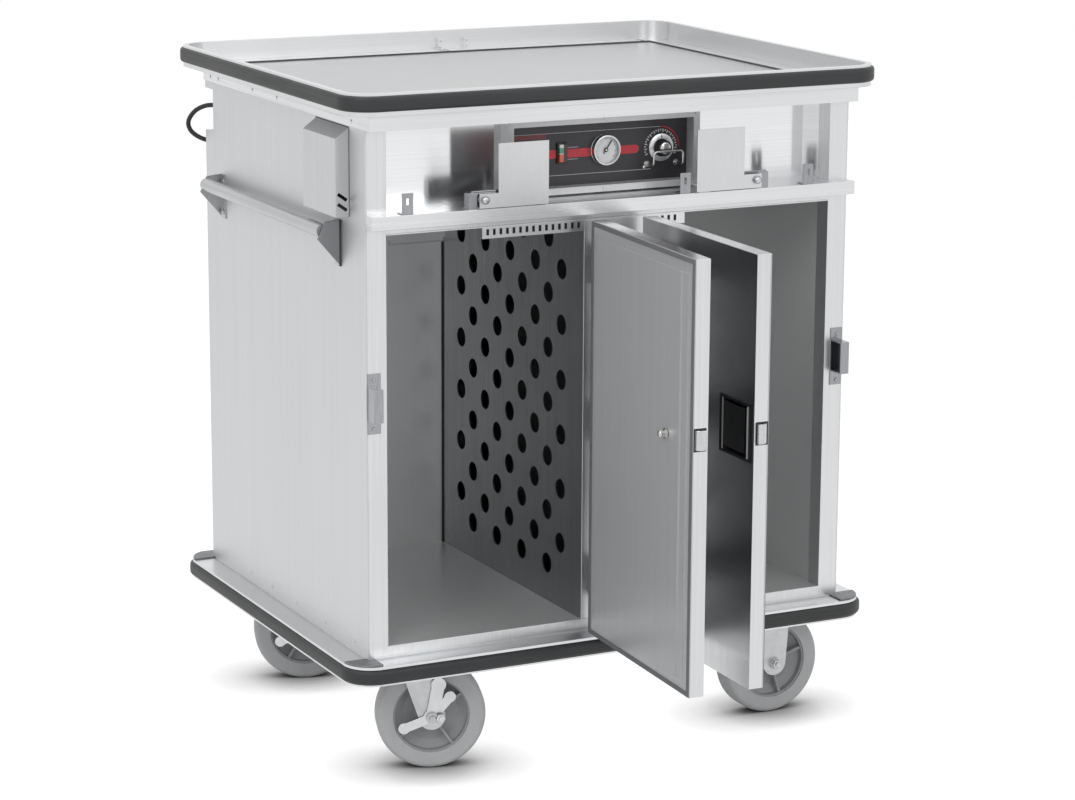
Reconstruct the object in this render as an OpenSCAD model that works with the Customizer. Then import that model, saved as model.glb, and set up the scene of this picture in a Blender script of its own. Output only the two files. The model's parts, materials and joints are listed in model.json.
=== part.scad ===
// Enclosed meal cart: a two-door insulated cabinet on a bumpered base with four
// 203 mm casters, a control bay above the doors and a railed top.
// X runs across the front, -Y is the front, Z is up. Sizes are in millimetres.
// The doors are drawn open, as they stand at rest.

/* [Cabinet] */
// Width over the side panels
body_w = 984; // [820:1:1200]
// Depth from the front of the posts to the back panel
body_d = 774; // [645:1:930]
// Height of the door opening
opening_h = 750; // [625:1:900]
// Height of the control bay, from the ledge to the top band
bay_h = 149; // [145:1:190]
// Depth of the control bay behind the posts' front
bay_d = 68; // [60:1:90]
// Depth of the two compartments
inner_d = 607; // [500:1:620]
// Thickness of the sheet metal
sheet = 2; // [1.6:0.1:2.4]
// Width of each front post
post_w = 40; // [34:1:48]
// Depth of each front post
post_d = 38; // [30:1:46]
// Height of the sill under the opening
sill_h = 20; // [16:1:26]
// Height of the header over the opening
header_h = 14; // [10:1:20]
// Height of the ledge lip
ledge_h = 25; // [20:1:30]
// Reach of the ledge in front of the posts
ledge_out = 29; // [26:1:32]
// Height of the top band
band_h = 26; // [20:1:32]
// Width of the air duct between the compartments
duct_w = 124; // [110:1:140]
// Width of each jamb strip beside the duct cover
jamb_w = 19; // [12:1:22]

/* [Perforated dividers] */
// Thickness of each divider
divider_t = 3; // [2:0.5:4]
// Diameter of the air holes
hole_d = 38; // [25:1:44]
// Spacing of the hole columns along the depth
hole_step_y = 54; // [50:1:65]
// Spacing of the holes down a column
hole_step_z = 104; // [90:1:125]

/* [Doors] */
// Thickness of a door
door_t = 28; // [24:1:32]
// Gap between the posts and a closed door
door_gap = 2; // [1.5:0.5:3]
// Distance from the side of the cabinet to a closed door's free edge
door_edge_in = 30; // [28:1:34]
// Distance from the middle to a hinge axis
hinge_x = 34; // [32:1:38]
// Gap between a hinge axis and the door's outer face
hinge_lift = 3; // [3:0.5:4]
// Gap between a hinge axis and the door's hinged edge
hinge_edge = 6; // [6:0.5:8]
// Radius of a hinge barrel
barrel_r = 4.5; // [4:0.1:4.5]
// Height of one hinge
hinge_h = 76; // [60:1:100]
// Angle at which the left door stands open
left_open = 86.8; // [80:0.1:90]
// Angle at which the right door stands open
right_open = 91; // [85:0.1:92]

/* [Latches] */
// Width of a latch cup
cup_w = 112; // [95:1:125]
// Height of a latch cup
cup_h = 96; // [80:1:115]
// Depth of a latch cup behind the door's outer face
cup_deep = 24; // [23:0.5:24]
// Reach of the latch bolt past the door's free edge
bolt_out = 8; // [6:0.5:8]
// Height of the latch bolt
bolt_h = 35; // [28:1:42]
// Depth of the latch bolt through the door
bolt_deep = 18; // [12:1:18]

/* [Base and bumpers] */
// Reach of the bumpers outside the cabinet
bumper_out = 50; // [48:1:60]
// Height of a bumper
bumper_h = 28; // [24:1:34]
// Height of the base frame
base_h = 36; // [34:1:44]

/* [Casters] */
// Wheel diameter
wheel_d = 203; // [170:1:245]
// Wheel width
wheel_w = 50; // [42:1:56]
// Distance from the left side to a swivel kingpin
swivel_in = 114; // [105:1:140]
// Distance from the right side to a fixed wheel's centre
fixed_in = 102; // [95:1:140]
// Distance from the posts' front, or from the back, to a caster's centre
caster_in = 86; // [80:1:120]
// Offset of a swivel wheel from its kingpin
trail = 43; // [36:1:50]
// Heading of the swivel casters, turned from +X
heading = -18.5; // [-180:0.5:180]

/* [Handle] */
// Diameter of the push handle's tube
handle_d = 25; // [20:1:30]
// Distance from the side panel to the tube's axis
handle_out = 33; // [30:1:36]
// Distance from the posts' front to the handle's near end
handle_in = 110; // [90:1:150]

/* [Power cord] */
// Diameter of the cord
cord_d = 9; // [7:0.5:9]
// Turns in the wound part: as many in as out, and one for the climb and the end
coil_turns = 7; // [3:2:7]

/* [Hidden] */
$fn = 48;

// Gap kept between pieces that move past each other, and a sliding or turning fit.
clear = 0.3;
fit = 0.05;

// Heights, from the floor up.
wheel_clear = 1;
plate_t = 3;
base_z = wheel_d + wheel_clear;
pan_z = base_z + base_h;
body_z = pan_z + plate_t;
floor_z = body_z + sill_h;
ceiling_z = floor_z + opening_h;
ledge_z = ceiling_z + header_h;
bay_z = ledge_z + ledge_h;
band_z = bay_z + bay_h;
deck_z = band_z + band_h;

// Plan sizes, about the middle of the width and the posts' front.
half_w = body_w / 2;
post_x = half_w - post_w;
duct_x = duct_w / 2;
skin_x = half_w - sheet;
back_y = body_d - sheet;

// The rounded corners of the bumpers and frames share one centre this far inside
// the cabinet's corner.
corner_in = 10;
frame_in = 4;
lip_out = 44;
web_out = 20;
lip_t = 3;
rim_wall = 33;
rim_t = 3;
rim_lip = 8;

// Door sizes, measured from the hinge axis of a closed left door.
hinge_y = -(door_gap + door_t + hinge_lift);
door_end = half_w - door_edge_in - hinge_x;
door_z = body_z + 5;
door_top = ceiling_z + 5;
door_front = hinge_lift;
door_back = hinge_lift + door_t;
liner_t = 2;
pan_rise = 2;
ridge_rise = 2;
hinge_rows = [door_z + 90, (door_z + door_top) / 2, door_top - 90];

// Latch places. The cup starts this far from the free edge.
cup_in = 6;
cup_z = door_z + (door_top - door_z) * 0.529;
cup_wall = 1.5;
bolt_z = cup_z + 33;
bolt_y = door_back - liner_t - 3 - bolt_deep;
bolt_tail = 30;
paddle_pin_r = 3;
paddle_pin_x = -door_end + cup_in + cup_w - 10;
paddle_pin_y = door_front + 6;
paddle_h = cup_h - 16;

// How far the open doors reach in front of the posts, to the farther bolt tip.
function reach(a) = -hinge_y + (door_end + bolt_out) * sin(a)
    + max(-bolt_y * cos(a), -(bolt_y + bolt_deep) * cos(a));
front_reach = max(reach(left_open), reach(right_open));
mid_y = (body_d + bumper_out - front_reach) / 2;

// Control bay places.
control_z = bay_z + 76;
knob_z = control_z - 3;
rocker_z = control_z - 1;
plate_y = bay_d - sheet;
window_x = 184;
box_x = 197;
box_out = 28;
gauge_x = 12;
gauge_r = 28;
dial_r = 24;
gauge_out = 14;
knob_x = 129;
knob_r = 26;
knob_out = 20;
rocker_x = -75.5;
rocker_w = 15;
rocker_h = 32;
rocker_pin_y = plate_y - 3;

// Transport flaps and padlock eyes on the ledge.
flap_t = 2;
flap_y = -max(door_gap + door_t, ledge_out) - 4;
flap_bolt_x = 277;
flap_bolt_z = bay_z + 17;
flap_bolt_r = 4;
flap_low = bay_z + 2;
flap_high = bay_z + 116;
bracket_y = 2 - ledge_out;
bracket_t = 2;
eye_xs = [-423, -163, 131, 391];

// Caster places.
caster_top_z = pan_z - plate_t;
caster_plate_t = 6;
caster_under_z = caster_top_z - caster_plate_t;
crown_t = 13;
crown_z = caster_under_z - clear - crown_t;
kingpin_r = 8;
axle_r = 6;
wheel_r = wheel_d / 2;
leg_in = wheel_w / 2 + 4;
leg_t = 4;
leg_w = 50;
swivel_x = -half_w + swivel_in;
fixed_x = half_w - fixed_in;
caster_ys = [caster_in, body_d - caster_in];
brake_t = 4.7;
// Each brake arm's heading, up from +X, its reach and its width.
brake_arms = [[200.5, 66, 18], [49.5, 62, 18], [79, 78, 24]];
tread_t = 30.5;

// Pocket in the left rear corner, where the cord comes out.
pocket_w = 52;
pocket_d = 41;
pocket_z = bay_z + 51;
pocket_h = 83;
gland_r = 11;
gland_len = 12;

// Route of the cord's free run: x from the left side, y from the back panel and
// z above the ledge. It leaves the gland, loops out past the corner and drops
// down the back.
cord_out = cord_d / 2 + 1;
gland_at = [25, -pocket_d + gland_len, 98];
cord_points = [
    gland_at,
    gland_at + [0, cord_d / 2, 0],
    gland_at + [0, cord_d, 0],
    [22, -8, 98],
    [8, 14, 96],
    [-8, 30, 86],
    [-18, 40, 70],
    [-20, 43, 56],
    [-14, 40, 42],
    [0, 32, 31],
    [22, 24, 22],
    [46, 15, 8],
    [59, 8, -25],
    [62, cord_out, -70],
    [62, cord_out, -150],
    [62, cord_out, -230],
    [62, cord_out, -283 + cord_d]
];
cord_steps = 2;
cord_sides = 10;

// The wound part hangs on the hook: it spirals in, climbs one layer in the half
// turn where the spiral reverses, and spirals out again.
coil_r = 69;
coil_step = cord_d + 1.7;
coil_sides = 6;
coil_rings = 24;
coil_in_turns = (coil_turns - 1) / 2;
climb_turns = 0.5;
coil_at = [62 + coil_r, cord_out, -283];
tail_len = 78;
plug_r = 15;

// ---------------------------------------------------------------- helpers

// Everything is drawn about the posts' front and then shifted, so that the
// origin is under the middle of the whole footprint.
module place() {
    translate([0, -mid_y, 0]) children();
}

// A box between two opposite corners.
module block(low, high) {
    translate(low) cube(high - low);
}

module both_sides() {
    children();
    mirror([1, 0, 0]) children();
}

// Runs a profile around the cabinet. Its X is the distance out from the line
// through the corner centres, and its Y is height.
module around() {
    translate([0, body_d / 2, 0]) {
        for (k = [0:3]) {
            along = (k % 2 == 0 ? half_w : body_d / 2) - corner_in;
            out = (k % 2 == 0 ? body_d / 2 : half_w) - corner_in;
            rotate([0, 0, 90 * k]) {
                translate([-along, out, 0]) {
                    rotate([90, 0, 90]) linear_extrude(2 * along) children();
                }
                translate([along, out, 0]) rotate_extrude(angle = 90) children();
            }
        }
    }
}

// A flat plate with the cabinet's outline grown by out, with rounded corners.
module grown_plate(out, low, high) {
    r = out + corner_in;
    translate([0, 0, low]) linear_extrude(high - low) {
        translate([-half_w + corner_in, -out]) square([body_w - 2 * corner_in, body_d + 2 * out]);
        translate([-half_w - out, corner_in]) square([body_w + 2 * out, body_d - 2 * corner_in]);
        for (x = [-half_w + corner_in, half_w - corner_in]) {
            for (y = [corner_in, body_d - corner_in]) translate([x, y]) circle(r);
        }
    }
}

// A cylinder whose axis runs along Y, from the point towards +Y.
module along_y(point, r, len) {
    translate(point) rotate([-90, 0, 0]) cylinder(r = r, h = len);
}

// A cylinder whose axis runs along X, from the point towards +X.
module along_x(point, r, len) {
    translate(point) rotate([0, 90, 0]) cylinder(r = r, h = len);
}

function unit(v) = v / norm(v);

// A point on the smooth curve through p1 and p2, with p0 and p3 as neighbours.
function curve(p0, p1, p2, p3, t) = 0.5 * (2 * p1 + (p2 - p0) * t
    + (2 * p0 - 5 * p1 + 4 * p2 - p3) * t * t
    + (3 * p1 - p0 - 3 * p2 + p3) * t * t * t);

// All points of the curve through a list, with steps points to each stretch.
function smooth(p, steps) = [
    for (i = [0 : len(p) - 2]) for (s = [0 : steps - 1])
        curve(p[max(i - 1, 0)], p[i], p[i + 1], p[min(i + 2, len(p) - 1)], s / steps),
    p[len(p) - 1]
];

function heading_at(p, i) = unit(p[min(i + 1, len(p) - 1)] - p[max(i - 1, 0)]);

// Side vectors carried along a path so that the tube does not twist.
function side_vectors(p, i, last) = i == len(p) ? [] :
    let (t = heading_at(p, i), s = unit(last - (last * t) * t))
    concat([s], side_vectors(p, i + 1, s));

// Rings of points around a path.
function ring_points(p, sides, r, first) =
    let (s = side_vectors(p, 0, first))
    [
        for (i = [0 : len(p) - 1]) for (k = [0 : sides - 1])
            let (t = heading_at(p, i), u = cross(t, s[i]), a = 360 * k / sides)
            p[i] + r * (cos(a) * s[i] + sin(a) * u)
    ];

// A round tube along a path, with flat ends, made of triangles.
module tube(p, sides, r, first) {
    rings = len(p);
    walls = [
        for (i = [0 : rings - 2]) for (k = [0 : sides - 1]) for (half = [0, 1])
            let (a = i * sides + k, b = i * sides + (k + 1) % sides)
            half == 0 ? [a, a + sides, b] : [b, a + sides, b + sides]
    ];
    start = [for (k = [1 : sides - 2]) [0, k, k + 1]];
    base = (rings - 1) * sides;
    finish = [for (k = [1 : sides - 2]) [base, base + k + 1, base + k]];
    polyhedron(ring_points(p, sides, r, first), concat(walls, start, finish));
}

// ---------------------------------------------------------------- base

// Outward-facing channel that holds the bumper, and the pan seamed inside it.
module base_frame() {
    color("gainsboro") place() {
        translate([0, 0, base_z]) around() {
            lip = lip_out + corner_in;
            web = web_out + corner_in;
            top = lip_t + bumper_h;
            polygon([
                [frame_in, 0], [lip, 0], [lip, lip_t], [web, lip_t], [web, top], [lip, top],
                [lip, base_h], [frame_in, base_h], [frame_in, base_h - plate_t],
                [web - 3, base_h - plate_t], [web - 3, lip_t], [frame_in, lip_t]
            ]);
        }
        grown_plate(frame_in - corner_in - clear, caster_top_z, pan_z);
    }
}

// Rounded outer face of a bumper, seated in its channel.
module bumper_profile(inner) {
    outer = bumper_out + corner_in;
    bevel = 5;
    polygon([
        [inner, 0], [outer - bevel, 0], [outer - 1.5, 1.5], [outer, bevel],
        [outer, bumper_h - bevel], [outer - 1.5, bumper_h - 1.5],
        [outer - bevel, bumper_h], [inner, bumper_h]
    ]);
}

module base_bumper() {
    color("#202124") place() translate([0, 0, base_z + lip_t]) {
        around() bumper_profile(web_out + corner_in);
    }
}

// Dark corner plates that the cabinet stands on, and the casters' bolted plates
// with the swivel kingpins.
module base_plates() {
    corner_x = 13;
    corner_y = 9;
    plate_l = 116;
    plate_w = 100;
    pin_low = wheel_d + 7;
    color("#4d5157") place() {
        intersection() {
            for (x = [-half_w - lip_out, half_w - corner_x]) {
                block([x, -38, pan_z], [x + lip_out + corner_x, corner_y, body_z]);
                block([x, body_d - corner_y, pan_z], [x + lip_out + corner_x, body_d + 38, body_z]);
            }
            grown_plate(lip_out - 1, pan_z, body_z);
        }
        for (x = [swivel_x, fixed_x]) {
            for (y = caster_ys) {
                block([x - plate_l / 2, y - plate_w / 2, caster_under_z],
                      [x + plate_l / 2, y + plate_w / 2, caster_top_z]);
                for (dx = [-44, 44]) {
                    for (dy = [-36, 36]) {
                        translate([x + dx, y + dy, caster_under_z - 6]) cylinder(r = 8, h = 6, $fn = 6);
                    }
                }
            }
        }
        for (y = caster_ys) {
            translate([swivel_x, y, pin_low]) {
                cylinder(r = kingpin_r, h = caster_under_z - pin_low);
                cylinder(r = 14, h = crown_z - clear - pin_low);
            }
        }
    }
}

// One fork leg, seen along the axle: a tapered plate with a round foot.
module fork_leg(top_from, top_to, foot, top) {
    r = leg_w / 2;
    linear_extrude(leg_t) {
        polygon([[top_from, top], [top_to, top], [foot + r, wheel_r], [foot - r, wheel_r]]);
        translate([foot, wheel_r]) circle(r);
    }
}

// Both legs of a fork on each side of a wheel that rolls along X.
module fork_legs(top_from, top_to, foot, top) {
    for (y = [-leg_in - leg_t, leg_in]) {
        translate([0, y + leg_t, 0]) rotate([90, 0, 0]) fork_leg(top_from, top_to, foot, top);
    }
}

// Axle bolt with its head and nut, across the wheel. The head stands off the leg
// by gap.
module axle(x, gap) {
    reach = 50;
    along_y([x, -reach, wheel_r], axle_r, 2 * reach);
    along_y([x, -leg_in - leg_t - gap - 6, wheel_r], 11, 6);
    along_y([x, leg_in + leg_t, wheel_r], 11, 6);
}

// Forks of the two casters that do not swivel, with their axles.
module rigid_forks() {
    block_t = 8;
    half = 34;
    crown = leg_in + leg_t;
    color("silver") place() {
        for (y = caster_ys) {
            translate([fixed_x, y, 0]) {
                block([-half, -crown, caster_under_z - block_t], [half, crown, caster_under_z]);
                fork_legs(-half, half, 0, caster_under_z - block_t);
                axle(0, 0);
            }
        }
    }
}

// ---------------------------------------------------------------- cabinet

module floor_panel() {
    color("lightgray") place() {
        block([-skin_x, 0, body_z], [skin_x, back_y, body_z + sheet]);
    }
}

// Outer side sheets with their rivet heads. The left one is notched at the rear
// for the cord pocket.
module side_panels() {
    rivet_r = 3.5;
    rivet_h = 1.2;
    low_ys = [62, 197, 335, 460, 568];
    color("#c9cbcd") place() {
        difference() {
            block([-half_w, 0, body_z], [-skin_x, body_d, deck_z]);
            block([-half_w - 1, body_d - pocket_d, pocket_z],
                  [-skin_x + 1, body_d + 1, pocket_z + pocket_h]);
        }
        block([skin_x, 0, body_z], [half_w, body_d, deck_z]);
        for (y = low_ys) {
            if (y < body_d - 20) {
                along_x([-half_w - rivet_h, y, floor_z - 2], rivet_r, rivet_h);
                along_x([half_w, y, floor_z - 2], rivet_r, rivet_h);
            }
        }
    }
}

// Back sheet, and the folded pocket behind the notch at its left end.
module back_panel() {
    inner_x = -half_w + pocket_w;
    front = body_d - pocket_d;
    color("#c9cbcd") place() {
        difference() {
            block([-skin_x, back_y, body_z], [skin_x, body_d, deck_z]);
            block([-half_w, back_y - 1, pocket_z], [inner_x, body_d + 1, pocket_z + pocket_h]);
        }
        block([-skin_x, front - sheet, pocket_z - sheet],
              [inner_x + sheet, front, pocket_z + pocket_h + sheet]);
        block([inner_x, front, pocket_z - sheet], [inner_x + sheet, back_y, pocket_z + pocket_h + sheet]);
        block([-skin_x, front, pocket_z - sheet], [inner_x, back_y, pocket_z]);
        block([-skin_x, front, pocket_z + pocket_h], [inner_x, back_y, pocket_z + pocket_h + sheet]);
    }
}

// Posts, sill, header, duct cover and the jamb strips beside it.
module front_frame() {
    under = floor_z - sheet;
    color("#d5d7d9") place() {
        both_sides() {
            difference() {
                block([post_x, 0, body_z + sheet], [skin_x, post_d, band_z]);
                block([post_x + sheet, sheet, body_z], [skin_x - sheet, post_d - sheet, band_z + 1]);
            }
            block([duct_x - jamb_w, 0, floor_z], [duct_x, sheet, ceiling_z]);
        }
        difference() {
            block([-post_x, 0, body_z + sheet], [post_x, post_d, under]);
            block([-post_x - 1, sheet, body_z], [post_x + 1, post_d + 1, under - sheet]);
        }
        block([-post_x, 0, ceiling_z + sheet], [post_x, sheet, bay_z - sheet]);
        block([-duct_x + jamb_w, 0, floor_z], [duct_x - jamb_w, sheet, ceiling_z]);
    }
}

// Floor, ceiling, outer walls and backs of the two compartments, with a lipped
// strip across each back.
module compartment_liners() {
    back = inner_d + sheet;
    strip_z = ceiling_z - 125;
    color("#8d9092") place() {
        block([-post_x, 0, floor_z - sheet], [post_x, back, floor_z]);
        block([-post_x, 0, ceiling_z], [post_x, back, ceiling_z + sheet]);
        both_sides() {
            block([post_x, post_d, floor_z - sheet], [post_x + sheet, back, ceiling_z + sheet]);
            block([duct_x, inner_d, floor_z], [post_x, back, ceiling_z]);
            block([duct_x, inner_d - 12, strip_z], [post_x, inner_d, strip_z + sheet]);
            block([duct_x, inner_d - 12, strip_z + sheet], [post_x, inner_d - 12 + sheet, strip_z + 14]);
        }
    }
}

// Perforated walls of the duct. Every other column of holes drops half a step.
module divider_skins() {
    first_y = 88;
    columns = floor((inner_d - first_y - 50) / hole_step_y) + 1;
    top_z = ceiling_z - 53;
    low_z = floor_z + 30;
    color("#7f8284") place() difference() {
        both_sides() block([duct_x - divider_t, sheet, floor_z], [duct_x, inner_d, ceiling_z]);
        for (k = [0 : columns - 1]) {
            start = top_z - (k % 2 == 0 ? hole_step_z / 2 : 0);
            for (z = [start : -hole_step_z : low_z]) {
                for (x = [-duct_x - 1, duct_x - divider_t - 1]) {
                    along_x([x, first_y + k * hole_step_y, z], hole_d / 2, divider_t + 2);
                }
            }
        }
    }
}

// Slotted strips at the top of each compartment's mouth.
module return_grilles() {
    strip_h = 18;
    slot_w = 5.5;
    slot_h = 11;
    slot_step = 13;
    low = ceiling_z - strip_h;
    color("#c4c6c8") place() {
        for (span = [[-266, -duct_x], [duct_x, 145]]) {
            count = floor((span[1] - span[0] - 6) / slot_step);
            difference() {
                block([span[0], 0, low], [span[1], sheet, ceiling_z]);
                for (i = [0 : count - 1]) {
                    x = span[0] + 8 + i * slot_step;
                    block([x, -1, low + 4], [x + slot_w, sheet + 1, low + 4 + slot_h]);
                }
            }
            block([span[0], 0, low - sheet], [span[1], 6, low]);
        }
    }
}

// Folded ledge over the doors, whose floor runs back to the bay wall.
module ledge_channel() {
    color("#e4e5e6") place() {
        difference() {
            block([-half_w, -ledge_out, ledge_z], [half_w, 0, bay_z]);
            block([-half_w + sheet, -ledge_out + sheet, ledge_z + sheet],
                  [half_w - sheet, 1, bay_z - sheet]);
        }
        block([-post_x, 0, bay_z - sheet], [post_x, post_d, bay_z]);
        block([-skin_x, post_d, bay_z - sheet], [skin_x, bay_d + sheet, bay_z]);
    }
}

module bay_walls() {
    color("#dfe1e3") place() {
        block([-post_x, bay_d, bay_z], [post_x, bay_d + sheet, band_z]);
        both_sides() block([post_x, post_d, bay_z], [post_x + sheet, bay_d + sheet, band_z]);
    }
}

// Band around the top: a closed front box over the bay and straps along the sides.
module top_band() {
    proud = 3;
    front = 1 - ledge_out;
    color("#e4e5e6") place() {
        difference() {
            block([-half_w - proud, front, band_z], [half_w + proud, 0, deck_z]);
            block([-half_w - proud + sheet, front + sheet, band_z + sheet],
                  [half_w + proud - sheet, 1, deck_z - sheet]);
        }
        block([-skin_x, 0, band_z], [skin_x, bay_d + sheet, band_z + sheet]);
        both_sides() {
            block([half_w, 0, band_z], [half_w + proud, body_d, deck_z]);
            for (y = [54, 399, 520, 697, 738]) {
                if (y < body_d - 20) along_x([half_w + proud, y, band_z + 9], 3.5, 1.2);
            }
        }
    }
}

// Top sheet with the flange around it, and the railed rim seamed to the flange,
// whose channel holds the upper bumper.
module top_tray() {
    wall = rim_wall + corner_in;
    lip = lip_out + corner_in;
    top = rim_lip + bumper_h + 2;
    color("#eceded") place() {
        grown_plate(0, deck_z, deck_z + sheet);
        translate([0, 0, deck_z + sheet]) around() {
            translate([frame_in, 0]) square([wall - clear - frame_in, rim_t]);
            polygon([
                [wall, 0], [lip, 0], [lip, rim_lip], [wall + rim_t, rim_lip],
                [wall + rim_t, rim_lip + bumper_h], [lip, rim_lip + bumper_h], [lip, top + 2],
                [wall, top + 2]
            ]);
        }
    }
}

module top_bumper() {
    color("#202124") place() translate([0, 0, deck_z + sheet + rim_lip]) {
        around() bumper_profile(rim_wall + rim_t + corner_in);
    }
}

// Cover of the heater and fan over the compartments, with the fan motor behind it.
module heater_unit() {
    low = ceiling_z + sheet;
    high = low + 140;
    near = 250;
    far = 500;
    color("#9a9da0") place() {
        difference() {
            block([-150, near, low], [150, far, high]);
            block([-150 + sheet, near + sheet, low - 1], [150 - sheet, far - sheet, high - sheet]);
        }
        along_y([0, far - sheet, low + 70], 40, 36);
        along_y([0, far - sheet, low + 70], 8, 50);
    }
}

// ---------------------------------------------------------------- control bay

// Recessed frame around the control plate.
module control_box() {
    face = bay_d - box_out;
    low = bay_z + 3;
    high = band_z - 5;
    color("#d5d7d9") place() {
        difference() {
            block([-box_x, face, low], [box_x, bay_d, high]);
            block([-box_x + sheet, face + sheet, low + sheet], [box_x - sheet, bay_d + 1, high - sheet]);
            block([-window_x, face - 1, low + 12], [window_x, face + sheet + 1, high - 15]);
        }
        difference() {
            block([-window_x - sheet, face + sheet, low + 12 - sheet],
                  [window_x + sheet, bay_d, high - 15 + sheet]);
            block([-window_x, face, low + 12], [window_x, bay_d + 1, high - 15]);
        }
        for (x = [-box_x + 7, 0, box_x - 7]) {
            for (z = [low + 6, high - 7.5]) along_y([x, face - 1.5, z], 3.5, 1.5);
        }
    }
}

// Plate that carries the controls, with the thermostat's shaft.
module control_plate() {
    shaft_r = 3;
    color("#26282b") place() {
        block([-window_x, plate_y, bay_z + 15], [window_x, bay_d, band_z - 20]);
        along_y([knob_x, plate_y - knob_out + 4, knob_z], shaft_r, knob_out - 4);
    }
}

// Dial thermometer: thick bezel, face and the needle's pin.
module gauge_case() {
    face_t = 5;
    color("#d9dadb") place() {
        difference() {
            along_y([gauge_x, plate_y - gauge_out, control_z], gauge_r, gauge_out);
            along_y([gauge_x, plate_y - gauge_out - 1, control_z], dial_r, gauge_out - face_t + 1);
        }
        along_y([gauge_x, plate_y - gauge_out + 3, control_z], 1.5, gauge_out - face_t - 3);
    }
}

module gauge_needle() {
    y = plate_y - 8;
    rest_turn = 35;
    color("black") place() translate([gauge_x, y, control_z]) rotate([0, rest_turn, 0]) difference() {
        union() {
            along_y([0, 0, 0], 4, 1.2);
            block([-0.8, 0, -8], [0.8, 1.2, dial_r - 4]);
        }
        along_y([0, -1, 0], 1.5 + fit, 4);
    }
}

// Switch bezel with its pivot pin, the wire guard around the knob, and a screw.
module panel_fittings() {
    wire_r = 2.5;
    guard_y = plate_y - 28;
    guard_xs = [knob_x - 29, knob_x + 32];
    guard_top = knob_z - 4;
    guard_low = knob_z - 29;
    bezel = 2.5;
    w = rocker_w / 2 + clear;
    h = rocker_h / 2 + clear;
    z = rocker_z;
    color("#1d1e20") place() {
        difference() {
            block([rocker_x - w - bezel, plate_y - 4, z - h - bezel],
                  [rocker_x + w + bezel, plate_y, z + h + bezel]);
            block([rocker_x - w, plate_y - 5, z - h], [rocker_x + w, plate_y + 1, z + h]);
        }
        along_x([rocker_x - w - 1, rocker_pin_y, z], 1.2, 2 * w + 2);
    }
    color("silver") place() {
        for (x = guard_xs) {
            along_y([x, guard_y, guard_low], wire_r, plate_y - guard_y);
            translate([x, guard_y, guard_low]) cylinder(r = wire_r, h = guard_top - guard_low);
            translate([x, guard_y, guard_top]) sphere(wire_r);
            translate([x, guard_y, guard_low]) sphere(wire_r);
        }
        along_x([guard_xs[0], guard_y, guard_top], wire_r, guard_xs[1] - guard_xs[0]);
        along_y([guard_xs[0] - 4, plate_y - 2, guard_low - 6], 3.5, 2);
    }
}

module thermostat_knob() {
    grip = 15;
    skirt = 6;
    front = plate_y - knob_out;
    color("#17181a") place() translate([knob_x, 0, knob_z]) difference() {
        union() {
            along_y([0, plate_y - clear - skirt, 0], knob_r, skirt);
            along_y([0, front, 0], grip, knob_out - clear - skirt);
            block([-3, front, 0], [3, plate_y - clear - skirt, knob_r - 1]);
        }
        along_y([0, front + 4 - clear, 0], 3 + fit, knob_out);
    }
}

module power_rocker() {
    half = rocker_w / 2;
    color("#c8463c") place() translate([rocker_x, rocker_pin_y, rocker_z]) difference() {
        union() {
            block([-half, -5.5, -rocker_h / 2], [half, -0.5, rocker_h / 2]);
            along_x([-half, 0, 0], 2.4, rocker_w);
        }
        along_x([-half - 1, 0, 0], 1.2 + fit, rocker_w + 2);
    }
}

// ---------------------------------------------------------------- outside fittings

// Hollow hood over the side vent, open below, with two slanted slots in its front.
module vent_hood() {
    out = 26;
    low = bay_z - 14;
    high = bay_z + 126;
    near = 70;
    far = 218;
    color("#b9bbbd") place() difference() {
        translate([0, far, 0]) rotate([90, 0, 0]) linear_extrude(far - near) polygon([
            [-half_w, low], [-half_w - out, low], [-half_w - out, high], [-half_w, high + 19]
        ]);
        translate([0, far - sheet, 0]) rotate([90, 0, 0]) linear_extrude(far - near - 2 * sheet) polygon([
            [-half_w + 1, low - 1], [-half_w - out + sheet, low - 1],
            [-half_w - out + sheet, high - sheet], [-half_w + 1, high + 17]
        ]);
        for (z = [low + 18, low + 36]) {
            translate([-half_w - out / 2, near, z]) rotate([0, 35, 0]) {
                block([-10.5, -1, -3], [10.5, sheet + 1, 3]);
            }
        }
    }
}

// Push handle on the left side: the tube between two folded end brackets.
module push_handle() {
    t = 3;
    axis_z = bay_z - 43;
    far = body_d - 82;
    tab = 22;
    color("#c3c5c7") place() {
        for (end = [[handle_in, 1], [far, -1]]) {
            y = end[0];
            inward = end[1];
            translate([0, y + t / 2, 0]) rotate([90, 0, 0]) linear_extrude(t) polygon([
                [-half_w, axis_z + 19], [-half_w - handle_out + 1, axis_z + 16],
                [-half_w - handle_out - 12, axis_z - 14], [-half_w, axis_z - 66]
            ]);
            from = min(y + inward * t / 2, y + inward * tab);
            to = max(y + inward * t / 2, y + inward * tab);
            block([-half_w - t, from, axis_z - 66], [-half_w, to, axis_z + 19]);
            for (z = [axis_z + 5, axis_z - 54]) {
                along_x([-half_w - t - 2, y + inward * 13, z], 5, 2);
            }
        }
        along_y([-half_w - handle_out, handle_in + t / 2, axis_z], handle_d / 2, far - handle_in - t);
    }
}

// ---------------------------------------------------------------- hinges and latches

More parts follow.
